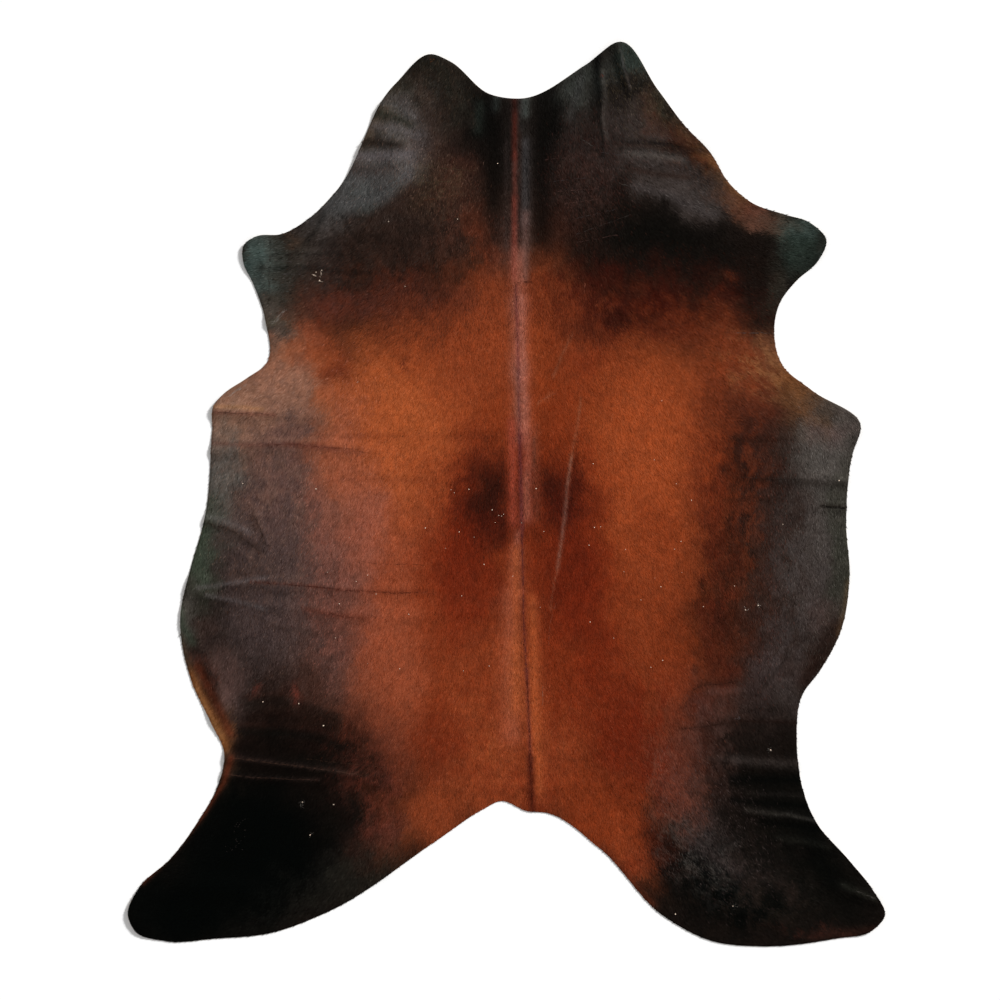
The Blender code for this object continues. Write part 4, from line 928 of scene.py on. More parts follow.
# Areas where tufts of another colour show. Columns: name, middle (x, y), half length, half width,
# turn, colour, cover, length and width of a tuft, its turn, share of the area that it fills.
TUFTS = (
    ("right hind black", 51, -97, 14, 9, 135, "black", 0.9, 2.4, 1.0, 60, 0.65),
    ("right hind grey", 53, -89, 12, 6, 130, "dove", 0.25, 2.0, 0.6, 60, 0.4),
    ("right hind foot grey", 64, -98, 14, 8, 150, "umber", 0.5, 2.6, 1.2, 70, 0.5),
    ("right hind foot black", 60, -104, 14, 6, 165, "black", 0.8, 2.4, 1.2, 70, 0.45),
    ("right sole rust", 80, -110.5, 14, 2, 175, "cocoa", 0.8, 1.6, 0.8, 20, 0.5),
    ("right foot mottle", 66, -93, 15, 10, 130, "soot", 0.65, 2.0, 0.8, 65, 0.45),
    ("right hind strands", 47, -91, 13, 7, 130, "ash", 0.6, 1.5, 0.25, 55, 0.35),
    ("right hind low strands", 50, -100, 13, 5, 150, "ash", 0.22, 1.2, 0.25, 60, 0.3),
    ("right thigh rose", 42, -72, 14, 9, 100, "clay", 0.45, 2.4, 0.8, 60, 0.4),
    ("right thigh red", 36, -62, 18, 7, 95, "red brown", 0.6, 3.0, 1.2, 70, 0.45),
    ("right thigh dusk", 52, -62, 14, 8, 90, "mauve", 0.4, 2.0, 0.9, 60, 0.4),
    ("right hem blotch", 53, -20, 30, 6, 90, "russet", 0.65, 3.2, 1.5, 75, 0.5),
    ("right hem dark", 58, -18, 30, 5, 90, "bistre", 0.42, 2.8, 1.3, 80, 0.45),
    ("right hem tan", 60, 2, 26, 6, 90, "auburn", 0.6, 3.0, 1.3, 75, 0.4),
    ("right flank dusk", 68, -14, 34, 8, 90, "umber", 0.45, 3.2, 1.2, 75, 0.45),
    ("right flank bloom", 72, -30, 18, 9, 80, "dove", 0.3, 2.4, 1.0, 60, 0.4),
    ("right armpit straw", 62, 32, 12, 6, 140, "straw", 0.5, 3.0, 0.6, 140, 0.35),
    ("right armpit dark", 58, 26, 16, 9, 130, "cocoa", 0.15, 3.0, 0.9, 140, 0.4),
    ("left cheek dark", -30, 93, 12, 6, 60, "moss", 0.6, 2.0, 0.8, 150, 0.45),
    ("left cheek pale", -27, 91, 12, 6, 70, "ash", 0.6, 1.6, 0.4, 125, 0.4),
    ("left neck khaki", -18, 77, 12, 8, 130, "khaki", 0.4, 0.9, 0.25, 150, 0.3),
    ("left neck dark", -17, 70, 16, 9, 110, "umber", 0.6, 2.4, 1.0, 100, 0.4),
    ("left ear shade", -16, 97, 12, 12, 60, "umber", 0.4, 2.4, 1.0, 110, 0.4),
    ("left shoulder shade", -28, 62, 10, 26, 90, "dark brown", 0.5, 3.0, 1.0, 100, 0.4),
    ("left shoulder rust", -28, 50, 8, 26, 92, "rust", 0.4, 2.4, 0.8, 100, 0.4),
    ("right neck wine", 18, 78, 16, 10, 85, "cocoa", 0.3, 2.0, 0.7, 95, 0.4),
    ("right neck heather", 20, 76, 14, 9, 85, "mauve", 0.25, 1.4, 0.4, 20, 0.35),
    ("right ear shade", 22, 92, 12, 12, 80, "dark brown", 0.3, 2.6, 0.9, 100, 0.4),
    ("right cheek rust", 42, 88, 12, 6, 125, "rust", 0.25, 1.6, 0.6, 120, 0.4),
    ("right shoulder wine", 34, 50, 10, 28, 90, "oxblood", 0.55, 3.0, 1.0, 90, 0.45),
    ("right shoulder rust", 32, 44, 8, 28, 90, "auburn", 0.5, 2.8, 1.0, 90, 0.35),
    ("right rim bronze", 51, 82, 14, 3, 124, "olive", 0.4, 1.4, 0.5, 125, 0.45),
    ("left sole moss", -46, -99, 24, 8, 25, "moss", 0.25, 1.4, 0.7, 60, 0.45),
    ("left hind dusk", -42, -72, 16, 8, 100, "soot", 0.6, 2.6, 1.0, 85, 0.45),
    ("left hind ember", -34, -74, 12, 8, 100, "brick", 0.35, 2.0, 0.7, 85, 0.35),
    ("left flank shade", -56, -6, 44, 12, 92, "plum", 0.4, 3.0, 1.0, 85, 0.4),
    ("left flank bloom", -58, 6, 36, 12, 92, "dun", 0.25, 2.2, 0.7, 85, 0.4),
    ("left rim rust", -76.5, -45, 10, 2.4, 110, "liver", 0.5, 1.4, 0.5, 110, 0.5),
    ("left belly bloom", -42, -26, 26, 8, 90, "pink", 0.3, 2.4, 0.8, 80, 0.4),
    ("loin shade", 6, -18, 30, 20, 90, "oxblood", 0.22, 3.0, 1.2, 85, 0.4),
    ("rump shade", 4, -60, 18, 26, 90, "red brown", 0.3, 2.6, 1.0, 80, 0.4),
    ("kidney dark", 0, 0, 10, 18, 90, "oxblood", 0.35, 2.4, 1.0, 85, 0.4),
)


# The random clouds that the painting strays and varies by.
LATTICE = 512
LATTICE_MIDDLE = 256.4  # where the plan's origin lies on the lattice
WANDER = ((7.0, 2.2), (2.4, 1.5), (0.8, 0.6))  # how patch borders stray: size of clouds, distance
WANDER_SEED_ACROSS = 10
WANDER_SEED_ALONG = 20
MOTTLE = ((1.5, 0.06), (0.55, 0.08))  # how the coat's lightness varies: size of clouds, share
MOTTLE_SEED = 30
TUFT_SEED = 40
TUFT_DETAIL = 0.5  # the finer clouds' size and height beside the coarser ones'
TUFT_RANGE = 1.1  # how far the height of the cut moves as the share that is filled goes from 0 to 1
TUFT_FADE = 0.9  # the height over which a tuft's edge fades
DEEPENING = 0.32  # how much deeper the darkest colours are drawn
DEEP_TONE = 0.12  # the brightness at which that is down to a third
SPECKLE_ALONG = 0.7  # how far a lock's colour strays from its place, along its lay and across
SPECKLE_ACROSS = 0.4
BELL_REACH = 3  # how many half-widths from its line a bell is still counted

# The two surfaces. A scale is in features to the metre, and a range is the least and the most.
COAT_SPECULAR = 0.012
COAT_SHEEN = 0.02
COAT_SHEEN_TINT = (1.0, 0.86, 0.74, 1.0)
COAT_ROUGHNESS = (0.52, 0.68)
GRAIN_SCALE = 420.0
GRAIN_RANGE = (0.86, 1.14)
STREAK_SCALE = 260.0
STREAK_FREQUENCY = 1.6
STREAK_RANGE = (0.88, 1.12)
GLOSS_CLOUD_SCALE = 30.0
FLESH_DARK = (0.30, 0.215, 0.145, 1.0)
FLESH_PALE = (0.52, 0.42, 0.31, 1.0)
FLESH_ROUGHNESS = (0.82, 0.95)
FLESH_CLOUD_SCALE = 9.0
NAP_SCALE = 1400.0
NAP_RANGE = (0.88, 1.12)
NOISE_MIDDLE = (0.3, 0.7)  # between these lies nearly all of a noise texture

# The camera, the floor and the light. The view is in centimetres on the plan.
VIEW_MIDDLE = (-1.55, -1.45)
VIEW_WIDTH = 250
CAMERA_HEIGHT = 9.0
CAMERA_REACH = 60.0
SENSOR = 36.0  # mm
FLOOR_SIZE = 14.0
FLOOR_GAP = 0.3 * MM
FLOOR_COLOUR = (0.92, 0.92, 0.92, 1.0)
WORLD_COLOUR = (1.0, 1.0, 1.0, 1.0)
WORLD_STRENGTH = 0.48
KEY_SIDE = math.radians(40)  # from +X towards +Y
KEY_RISE = math.radians(32)
KEY_SPREAD = math.radians(12)
KEY_STRENGTH = 3.8
KEY_DISTANCE = 5


def to_linear(share):
    """sRGB shares as linear light."""
    return np.where(share > 0.04045, ((share + 0.055) / 1.055) ** 2.4, share / 12.92)


def tint_share(tint):
    """A coat colour as sRGB shares."""
    return np.array(COAT_COLOURS[tint]) / 255


def moved(colour, goal, share):
    """A colour moved by a share of the way to another."""
    return colour + share * (goal - colour)


def way_of(heading):
    """The unit step along each heading."""
    return np.column_stack([np.cos(heading), np.sin(heading)])


def left_of(way):
    """The unit step to the left of each unit step."""
    return np.column_stack([-way[:, 1], way[:, 0]])


def reaches(line):
    """How far along a line each of its points lies."""
    return np.concatenate([[0], np.cumsum(np.hypot(*np.diff(line, axis=0).T))])


def on_line(at, reach, line):
    """Points at distances along a line whose own points lie at reach."""
    return np.column_stack([np.interp(at, reach, line[:, axis]) for axis in (0, 1)])


def cut_edge(count):
    """count points evenly along the closed edge, anticlockwise from the right flank.

    Between two points of CUT_EDGE runs a cubic whose direction at each is the mean of the
    neighbouring chords, the nearer weighing more.
    """
    corner = np.array([row[1:] for row in CUT_EDGE]) * CM
    following = np.roll(corner, -1, axis=0)
    chord = np.hypot(*(following - corner).T)[:, None]
    slope = (following - corner) / chord
    before = np.roll(chord, 1, axis=0)
    tangent = (before * slope + chord * np.roll(slope, 1, axis=0)) / (before + chord)
    t = np.linspace(0, 1, EDGE_STEPS, endpoint=False)[:, None, None]
    runs = (
        (2 * t**3 - 3 * t**2 + 1) * corner
        + (t**3 - 2 * t**2 + t) * chord * tangent
        + (3 * t**2 - 2 * t**3) * following
        + (t**3 - t**2) * chord * np.roll(tangent, -1, axis=0)
    )
    line = runs.transpose(1, 0, 2).reshape(-1, 2)[::-1]
    away = line - PLAN_MIDDLE
    first = np.argmin(np.abs(np.arctan2(away[:, 1], away[:, 0])))
    line = np.roll(line, -first, axis=0)
    line = np.vstack([line, line[:1]])
    reach = reaches(line)
    return on_line(np.arange(count) / count * reach[-1], reach, line)


EDGE = cut_edge(4 * HAIR_SIDE_CELLS)
FRAME_SHIFT = -(EDGE.min(axis=0) + EDGE.max(axis=0)) / 2


def straightened(points):
    """Offsets from the middle, with y raised to across / along, so that the bent rays run straight."""
    x, y = (points - PLAN_MIDDLE).T
    return np.column_stack([x, np.sign(y) * np.abs(y) ** (RAY_ACROSS / RAY_ALONG)])


def past_edge(points):
    """How far each point lies beyond the edge, square to it: under 0 inside.

    It is (share - 1) * lever. The share is how far out the point lies on its straightened ray,
    and the lever is the cross product of the ray's run at the edge and the edge's direction.
    """
    x, y = (EDGE - PLAN_MIDDLE).T
    along_edge = np.roll(EDGE, -1, axis=0) - np.roll(EDGE, 1, axis=0)
    along_edge /= np.hypot(*along_edge.T)[:, None]
    lever = x * along_edge[:, 1] - RAY_ALONG / RAY_ACROSS * y * along_edge[:, 0]
    ray = straightened(EDGE)
    turn = np.unwrap(np.arctan2(ray[:, 1], ray[:, 0]))
    away = straightened(points)
    at = turn[0] + (np.arctan2(away[:, 1], away[:, 0]) - turn[0]) % (2 * np.pi)
    reach = np.interp(at, turn, np.hypot(*ray.T), period=2 * np.pi)
    return (np.hypot(*away.T) / reach - 1) * np.interp(at, turn, lever, period=2 * np.pi)


def line_distance(points, line):
    """The distance from each point to the nearest stretch of an open line."""
    nearest = np.full(len(points), np.inf)
    for start, end in zip(line[:-1], line[1:]):
        stretch = end - start
        offset = points - start
        share = np.clip(offset @ stretch / (stretch @ stretch), 0, 1)[:, None]
        nearest = np.minimum(nearest, np.hypot(*(offset - share * stretch).T))
    return nearest


def line_bell(points, line, half_width):
    """The numbers of the points near a line, and exp(-(distance / half-width)^2) at each."""
    reach = BELL_REACH * half_width
    low, high = line.min(axis=0) - reach, line.max(axis=0) + reach
    at = np.flatnonzero(((points > low) & (points < high)).all(axis=1))
    return at, np.exp(-((line_distance(points[at], line) / half_width) ** 2))


def crease_line(start, end, bow):
    """A crease's points about a step apart: its chord, bowed to the left as a parabola."""
    length = math.dist(start, end)
    direction = (end - start) / length
    left = np.array([-direction[1], direction[0]])
    t = np.linspace(0, 1, max(FEWEST_CREASE_POINTS, round(length / CREASE_STEP) + 1))[:, None]
    return start + t * (end - start) + 4 * bow * t * (1 - t) * left


def lift(points):
    """How far the leather stands off the surface.

    Each crease adds height * swell * exp(-(distance / half-width)^2), where swell is 1 - t^2
    along an edge crease and 4 t (1 - t) along a wave. Each curled tip adds such a bell too.
    FLAT_BELOW is taken off the sum, down to 0.
    """
    height = np.zeros(len(points))
    for row in (*EDGE_CREASES, *WAVES):
        _, start_x, start_y, end_x, end_y, bow, rise, half_width = row
        start, end = np.array([(start_x, start_y), (end_x, end_y)]) * CM
        at, bell = line_bell(points, crease_line(start, end, bow * CM), half_width * CM)
        chord = end - start
        t = np.clip((points[at] - start) @ chord / (chord @ chord), 0, 1)
        swell = 1 - t**2 if row in EDGE_CREASES else 4 * t * (1 - t)
        height[at] += rise * CM * swell * bell
    for _, x, y, reach, rise in CURLED_TIPS:
        away = np.hypot(points[:, 0] - x * CM, points[:, 1] - y * CM)
        height += rise * CM * np.exp(-((away / (reach * CM)) ** 2))
    return np.maximum(height - FLAT_BELOW, 0.0)


def hair_side(points):
    """The height of the leather's hair side: the lift and the thickness.

    The thickness falls evenly from LEATHER to CUT_EDGE_LEATHER over EDGE_ROUNDING.
    """
    share = np.clip(-past_edge(points) / EDGE_ROUNDING, 0, 1)
    return lift(points) + CUT_EDGE_LEATHER + (LEATHER - CUT_EDGE_LEATHER) * share


def clouds(points, size, seed):
    """Soft clouds from -1 to 1: random heights on a lattice, joined by 3 t^2 - 2 t^3."""
    heights = np.random.default_rng(seed).uniform(-1, 1, (LATTICE, LATTICE))
    place = points / size + LATTICE_MIDDLE
    corner = np.floor(place).astype(int)
    part = place - corner
    part = part * part * (3 - 2 * part)
    column, row = (corner % (LATTICE - 1)).T
    low = heights[column, row] * (1 - part[:, 0]) + heights[column + 1, row] * part[:, 0]
    high = heights[column, row + 1] * (1 - part[:, 0]) + heights[column + 1, row + 1] * part[:, 0]
    return low * (1 - part[:, 1]) + high * part[:, 1]


def lay(points):
    """The heading of the hair: the mean of HAIR_LAY, each place weighing 1 / (d^2 + reach^2)^2."""
    total = np.zeros((len(points), 2))
    for _, x, y, heading in HAIR_LAY:
        distance = ((points - (x * CM, y * CM)) ** 2).sum(axis=1)
        weight = 1 / (distance + LAY_REACH**2) ** 2
        turn = math.radians(heading)
        total += weight[:, None] * (math.cos(turn), math.sin(turn))
    return np.arctan2(total[:, 1], total[:, 0])


def in_ellipse(points, x, y, length, width, turn):
    """Where points lie along and across a turned ellipse, in its half length and half width."""
    cosine, sine = math.cos(math.radians(turn)), math.sin(math.radians(turn))
    offset = points - (x * CM, y * CM)
    along = (offset[:, 0] * cosine + offset[:, 1] * sine) / (length * CM)
    across = (offset[:, 1] * cosine - offset[:, 0] * sine) / (width * CM)
    return along, across


def soft_area(points, *ellipse):
    """exp(-r^4), where r is 1 on the ellipse."""
    along, across = in_ellipse(points, *ellipse)
    return np.exp(-((along**2 + across**2) ** 2))


def tuft_cover(points, row, seed):
    """How far the tufts of a row of TUFTS cover each point.

    Clouds of two sizes, drawn out along the tufts, are cut off where they stand lowest, by
    3 t^2 - 2 t^3, and fade out as exp(-r^4), where r is 1 on the row's ellipse.
    """
    _, x, y, length, width, turn, _, cover, tuft_length, tuft_width, tuft_turn, fill = row
    place = np.column_stack(in_ellipse(points, 0, 0, tuft_length, tuft_width, tuft_turn))
    height = clouds(place, 1, seed) + TUFT_DETAIL * clouds(place, TUFT_DETAIL, seed + 1)
    part = np.clip(0.5 + (height - TUFT_RANGE * (0.5 - fill)) / TUFT_FADE, 0, 1)
    area = soft_area(points, x, y, length, width, turn)
    return cover * area * part * part * (3 - 2 * part)


def paint(points, speckle=None):
    """The coat's colour at each point, as linear light, with the painted sheen and the painted shade of
    the folds that the tables carry.

    A patch covers cover * exp(-r^edge), where r is 1 on its ellipse, and a stroke covers
    cover * exp(-(distance / half-width)^2). speckle moves the point at which patches and
    tufts are read. Last, dark colours are deepened by the share
    DEEPENING * exp(-(their mean / DEEP_TONE)^2).
    """
    where = points if speckle is None else points + speckle
    stray = np.zeros_like(where)
    for index, (size, distance) in enumerate(WANDER):
        stray[:, 0] += distance * CM * clouds(where, size * CM, WANDER_SEED_ACROSS + index)
        stray[:, 1] += distance * CM * clouds(where, size * CM, WANDER_SEED_ALONG + index)
    where = where + stray
    colour = np.tile(tint_share(GROUND), (len(points), 1))
    for _, x, y, length, width, turn, tint, cover, edge in PATCHES:
        r = np.hypot(*in_ellipse(where, x, y, length, width, turn))
        share = cover * np.exp(-(r**edge))
        colour = moved(colour, tint_share(tint), share[:, None])
    for index, row in enumerate(TUFTS):
        share = tuft_cover(where, row, TUFT_SEED + 2 * index)
        colour = moved(colour, tint_share(row[6]), share[:, None])
    for _, half_width, tint, cover, *route in STROKES:
        at, bell = line_bell(points, np.array(route) * CM, half_width * CM)
        share = cover * bell
        colour[at] = moved(colour[at], tint_share(tint), share[:, None])
    for index, (size, amount) in enumerate(MOTTLE):
        colour *= 1 + amount * clouds(points, size * CM, MOTTLE_SEED + index)[:, None]
    tone = colour.mean(axis=1, keepdims=True)
    colour *= 1 - DEEPENING * np.exp(-((tone / DEEP_TONE) ** 2))
    return to_linear(np.clip(colour, 0, 1))


def flecks(points, rng):
    """For each point, how far a stray hair's colour covers the coat's own, and that colour.

    In a row of FLECKS a point is a stray with the chance share * exp(-r^4), r as in a patch.
    """
    cover = np.zeros((len(points), 1))
    colour = np.zeros((len(points), 3))
    for _, x, y, length, width, turn, tint, share, strength in FLECKS:
        chance = share * soft_area(points, x, y, length, width, turn)
        stray = rng.uniform(size=len(points)) < chance
        cover[stray] = strength
        colour[stray] = to_linear(tint_share(tint))
    return cover, colour


def put_mesh(name, points, triangles, materials, material_index=None, smooth=True):
    """A mesh object at the origin from plan points with heights and whole arrays of triangles."""
    mesh = bpy.data.meshes.new(name)
    placed = points + (*FRAME_SHIFT, 0)
    mesh.vertices.add(len(placed))
    mesh.vertices.foreach_set("co", placed.astype(np.float32).ravel())
    mesh.loops.add(triangles.size)
    mesh.loops.foreach_set("vertex_index", triangles.astype(np.int32).ravel())
    mesh.polygons.add(len(triangles))
    mesh.polygons.foreach_set("loop_start", np.arange(0, triangles.size, 3, dtype=np.int32))
    mesh.polygons.foreach_set("use_smooth", np.full(len(triangles), smooth))
    if material_index is not None:
        mesh.polygons.foreach_set("material_index", material_index.astype(np.int32))
    mesh.update(calc_edges=True)
    mesh.validate()
    for material in materials:
        mesh.materials.append(material)
    thing = bpy.data.objects.new(name, mesh)
    bpy.context.scene.collection.objects.link(thing)
    return thing


def put_colour(thing, colour):
    """The painted colour of each point, which the coat's material reads."""
    layer = thing.data.attributes.new("coat", "FLOAT_COLOR", "POINT")
    colour = np.clip(colour, 0, 1)
    layer.data.foreach_set("color", np.column_stack([colour, np.ones(len(colour))]).ravel())


def put_lay(thing, heading):
    """The heading of the hair at each point, which turns the material's streaks."""
    layer = thing.data.attributes.new("lay", "FLOAT", "POINT")
    layer.data.foreach_set("value", heading.astype(np.float32))


def put_bake_map(thing, places, triangles):
    """The map that the coat bakes through: one place for each corner of each triangle."""
    layer = thing.data.uv_layers.new(name="OFBake")
    layer.data.foreach_set("uv", places[triangles].astype(np.float32).ravel())


def hide_grid(cells):
    """A square grid bent into the hide: its plan points, triangles that face up, and its rim.

    A grid point at (a, b) in the square -1 to 1 lies on the ring r = max(|a|, |b|) and s of the
    way round it. With (X, Y) = edge(s) - middle, it goes to middle + (X r^across, Y r^along).
    """
    side = np.linspace(-1, 1, cells + 1)
    a, b = np.meshgrid(side, side, indexing="ij")
    ring = np.maximum(np.abs(a), np.abs(b))
    safe = np.where(ring == 0, 1, ring)
    turn_at_sides = np.where(a > 0, b, -b) / safe + np.where(a < 0, 4, 0)
    turn_at_ends = np.where(b > 0, 2 - a / safe, 6 + a / safe)
    share = (np.where(np.abs(a) >= np.abs(b), turn_at_sides, turn_at_ends) / 8) % 1
    closed = np.vstack([EDGE, EDGE[:1]])
    edge = on_line(share.ravel() * len(EDGE), np.arange(len(closed)), closed)
    growth = ring.ravel()[:, None] ** (RAY_ACROSS, RAY_ALONG)
    points = PLAN_MIDDLE + growth * (edge - PLAN_MIDDLE)
    number = np.arange((cells + 1) ** 2).reshape(cells + 1, cells + 1)
    corner = number[:-1, :-1], number[1:, :-1], number[1:, 1:], number[:-1, 1:]
    first, second, third, fourth = (quarter.ravel() for quarter in corner)
    outward = ((a[:-1, :-1] + a[1:, 1:]) * (b[:-1, :-1] + b[1:, 1:]) > 0).ravel()
    split = np.where(outward, first, second), np.where(outward, third, fourth)
    triangles = np.vstack([
        np.column_stack([split[0], np.where(outward, second, third), split[1]]),
        np.column_stack([split[0], split[1], np.where(outward, fourth, first)]),
    ])
    rim = np.flatnonzero(ring.ravel() == 1)
    return points, triangles, rim[np.argsort(share.ravel()[rim])]


def rim_wall(lower, upper):
    """The triangles between two rims, of which the upper has twice as many points."""
    after = np.roll(lower, -1)
    above, between = upper[0::2], upper[1::2]
    return np.vstack([
        np.column_stack([lower, between, above]),
        np.column_stack([lower, after, between]),
        np.column_stack([after, np.roll(above, -1), between]),
    ])


def leather_map(top, under, rim):
    """Places of the leather's points in its map, then of the wall's foot, BAKE_WALL outside the rim.

    The hair side is drawn at HAIR_MAP_SCALE and the flesh side, smaller and seen from below, in
    the corner beside it.
    """
    run = np.roll(rim, -1, axis=0) - np.roll(rim, 1, axis=0)
    turn = np.sign(np.sum(rim[:, 0] * np.roll(rim[:, 1], -1) - rim[:, 1] * np.roll(rim[:, 0], -1)))
    outward = turn * np.column_stack([run[:, 1], -run[:, 0]]) / np.hypot(*run.T)[:, None]
    low = rim.min(axis=0) - 2 * BAKE_WALL
    return np.vstack([
        HAIR_MAP_SCALE * (top - low),
        (1, 0) + FLESH_MAP_SCALE * (under - low) * (-1, 1),
        HAIR_MAP_SCALE * (rim + BAKE_WALL * outward - low),
    ])


def make_leather(coat, flesh):
    """The sheet: a hair side, a coarser flesh side and a wall between their rims."""
    top, top_faces, top_rim = hide_grid(HAIR_SIDE_CELLS)
    under, under_faces, under_rim = hide_grid(FLESH_SIDE_CELLS)
    points = np.vstack([
        np.column_stack([top, hair_side(top)]),
        np.column_stack([under, lift(under)]),
    ])
    under_faces = under_faces[:, ::-1] + len(top)
    wall = rim_wall(under_rim + len(top), top_rim)
    triangles = np.vstack([top_faces, under_faces, wall])
    flesh_side = np.arange(len(triangles)) >= len(top_faces)
    leather = put_mesh("hide_leather", points, triangles, (coat, flesh), flesh_side)
    foot = len(points) + np.arange(len(under_rim))
    places = leather_map(top, under, under[under_rim])
    put_bake_map(leather, places, np.vstack([top_faces, under_faces, rim_wall(foot, top_rim)]))
    put_colour(leather, paint(points[:, :2]))
    put_lay(leather, lay(points[:, :2]))
    return leather


def lock_places(rng):
    """Plan points spread evenly over the hide: a lattice, each point strayed within its cell."""
    low, high = EDGE.min(axis=0), EDGE.max(axis=0)
    across, along = EDGE.T
    area = abs(across @ np.roll(along, -1) - along @ np.roll(across, -1)) / 2
    step = math.sqrt(area / LOCKS)
    x, y = np.meshgrid(np.arange(low[0], high[0], step), np.arange(low[1], high[1], step))
    places = np.column_stack([x.ravel(), y.ravel()])
    places += rng.uniform(-step / 2, step / 2, places.shape)
    return places[past_edge(places) < -ROOT_CLEARANCE]


def between(rng, limits, count):
    """count random numbers spread evenly between two limits."""
    return rng.uniform(limits[0], limits[1], count)


def locks_shape(root, heading, bend, length, width, loft, belly_colour, tip_colour):
    """Closed pointed locks, as points, triangles and colours.

    Each has LOCK_POINTS points: the root, just under the skin's hairs; the left and right of its
    belly, at LOCK_BELLY of its length; and the tip, which stands highest, after a turn by bend.
    """
    forward = way_of(heading)
    belly = root + LOCK_BELLY * length[:, None] * forward
    tip = belly + (1 - LOCK_BELLY) * length[:, None] * way_of(heading + bend)
    half = width[:, None] / 2 * left_of(forward)
    belly_height = hair_side(belly) + LOCK_RISE
    # Painted self-shade: each lock's colour is darker at its root and lighter at its tip.
    rows = (
        (root, hair_side(root) - ROOT_DEPTH, ROOT_PAINTED_SHADE * belly_colour),
        (belly + half, belly_height, BELLY_PAINTED_SHADE * belly_colour),
        (belly - half, belly_height, BELLY_PAINTED_SHADE * belly_colour),
        (tip, hair_side(tip) + LOCK_RISE + loft, TIP_PAINTED_LIGHT * tip_colour),
    )
    points = np.stack([np.column_stack([plan, height]) for plan, height, _ in rows], axis=1)
    colours = np.stack([colour for _, _, colour in rows], axis=1)
    faces = np.array([(0, 2, 3), (0, 3, 1), (0, 1, 2), (1, 3, 2)])
    triangles = faces[None] + LOCK_POINTS * np.arange(len(root))[:, None, None]
    return points.reshape(-1, 3), triangles.reshape(-1, 3), colours.reshape(-1, 3)


def put_locks(name, shape, heading, material):
    """A piece of locks, with their colours, their lay and a map over the box that they fill."""
    points, triangles, colours = shape
    locks = put_mesh(name, points, triangles, (material,), smooth=False)
    put_colour(locks, colours)
    put_lay(locks, np.repeat(heading, LOCK_POINTS))
    low, high = points[:, :2].min(axis=0), points[:, :2].max(axis=0)
    put_bake_map(locks, (points[:, :2] - low) / (high - low).max(), triangles)
    return locks


def shade_reach(colour):
    """How far the lightness of a lock of each colour may stray.

    It is LOCK_SHADE, and GREY_SHADE times the least channel over the greatest, b, and DIM_SHADE
    times exp(-b / DIM_SHADE_TOP) - exp(-b / DIM_SHADE_FOOT).
    """
    bright = colour.max(axis=1)[:, None]
    grey = colour.min(axis=1)[:, None] / bright
    dim = np.exp(-bright / DIM_SHADE_TOP) - np.exp(-bright / DIM_SHADE_FOOT)
    return LOCK_SHADE + GREY_SHADE * grey + DIM_SHADE * np.maximum(dim, 0)


def shaded(colour, shade):
    """A linear colour made lighter or darker by a share of itself, as grey light in part.

    Each channel's share moves its root, at the power 2.4, by shade / 2.4 times a mean of that
    root and of the three channels' mean root, which weighs SHADE_GREYNESS.
    """
    root = np.maximum(colour, 0) ** (1 / 2.4)
    grey = root.mean(axis=1)[:, None]
    return np.maximum(root + shade / 2.4 * moved(root, grey, SHADE_GREYNESS), 0) ** 2.4


def past_overhang(root, way, length):
    """How far locks would reach beyond the overhang that they are allowed."""
    return past_edge(root + length[:, None] * way) - TIP_OVERHANG


def make_locks(name, root, rng, material):
    """A region of the coat: locks that lie along the hair's lay, each a shade off its neighbours.

    A lock that reaches too far over the cut edge is shortened, and then moved back by the rest.
    """
    count = len(root)
    heading = lay(root) + LAY_SPREAD * rng.normal(size=count)
    heading += LAY_DRIFT * clouds(root, DRIFT_SIZE, DRIFT_SEED)
    bend = LAY_SPREAD * rng.normal(size=count)
    length = between(rng, LOCK_LENGTH, count)
    way = way_of(heading)
    for _ in range(SHORTENINGS):
        over = past_overhang(root, way, length)
        shortened = np.maximum(length - SHORTENING * over, SHORTEST * length)
        length = np.where(over > 0, shortened, length)
    root = root - np.maximum(past_overhang(root, way, length), 0)[:, None] * way
    width = between(rng, LOCK_WIDTH, count)
    loft = between(rng, LOCK_LOFT, count)
    speckle = SPECKLE_ALONG * CM * rng.normal(size=(count, 1)) * way
    speckle += SPECKLE_ACROSS * CM * rng.normal(size=(count, 1)) * left_of(way)
    belly = paint(root + LOCK_BELLY * length[:, None] * way, speckle)
    tip = paint(root + length[:, None] * way, speckle)
    stray = np.clip(rng.normal(size=(count, 1)), -SHADE_LIMIT, SHADE_LIMIT)
    shade = shade_reach(belly) * stray
    cover, fleck = flecks(root, rng)
    shape = locks_shape(
        root, heading, bend, length, width, loft,
        shaded(moved(belly, fleck, cover), shade),
        shaded(moved(tip, fleck, cover), shade),
    )
    return put_locks(name, shape, heading, material)


def make_coat(material):
    """Four regions of locks with about as many in each: neck, left flank, right flank, rump."""
    rng = np.random.default_rng(LOCK_SEED)
    places = lock_places(rng)
    rump_top, neck_foot = np.quantile(places[:, 1], (0.25, 0.75))
    neck = places[:, 1] > neck_foot
    rump = places[:, 1] < rump_top
    trunk = ~neck & ~rump
    spine = np.median(places[trunk, 0])
    regions = {
        "coat_neck": neck,
        "coat_left_flank": trunk & (places[:, 0] < spine),
        "coat_right_flank": trunk & (places[:, 0] >= spine),
        "coat_rump": rump,
    }
    return [make_locks(name, places[chosen], rng, material) for name, chosen in regions.items()]


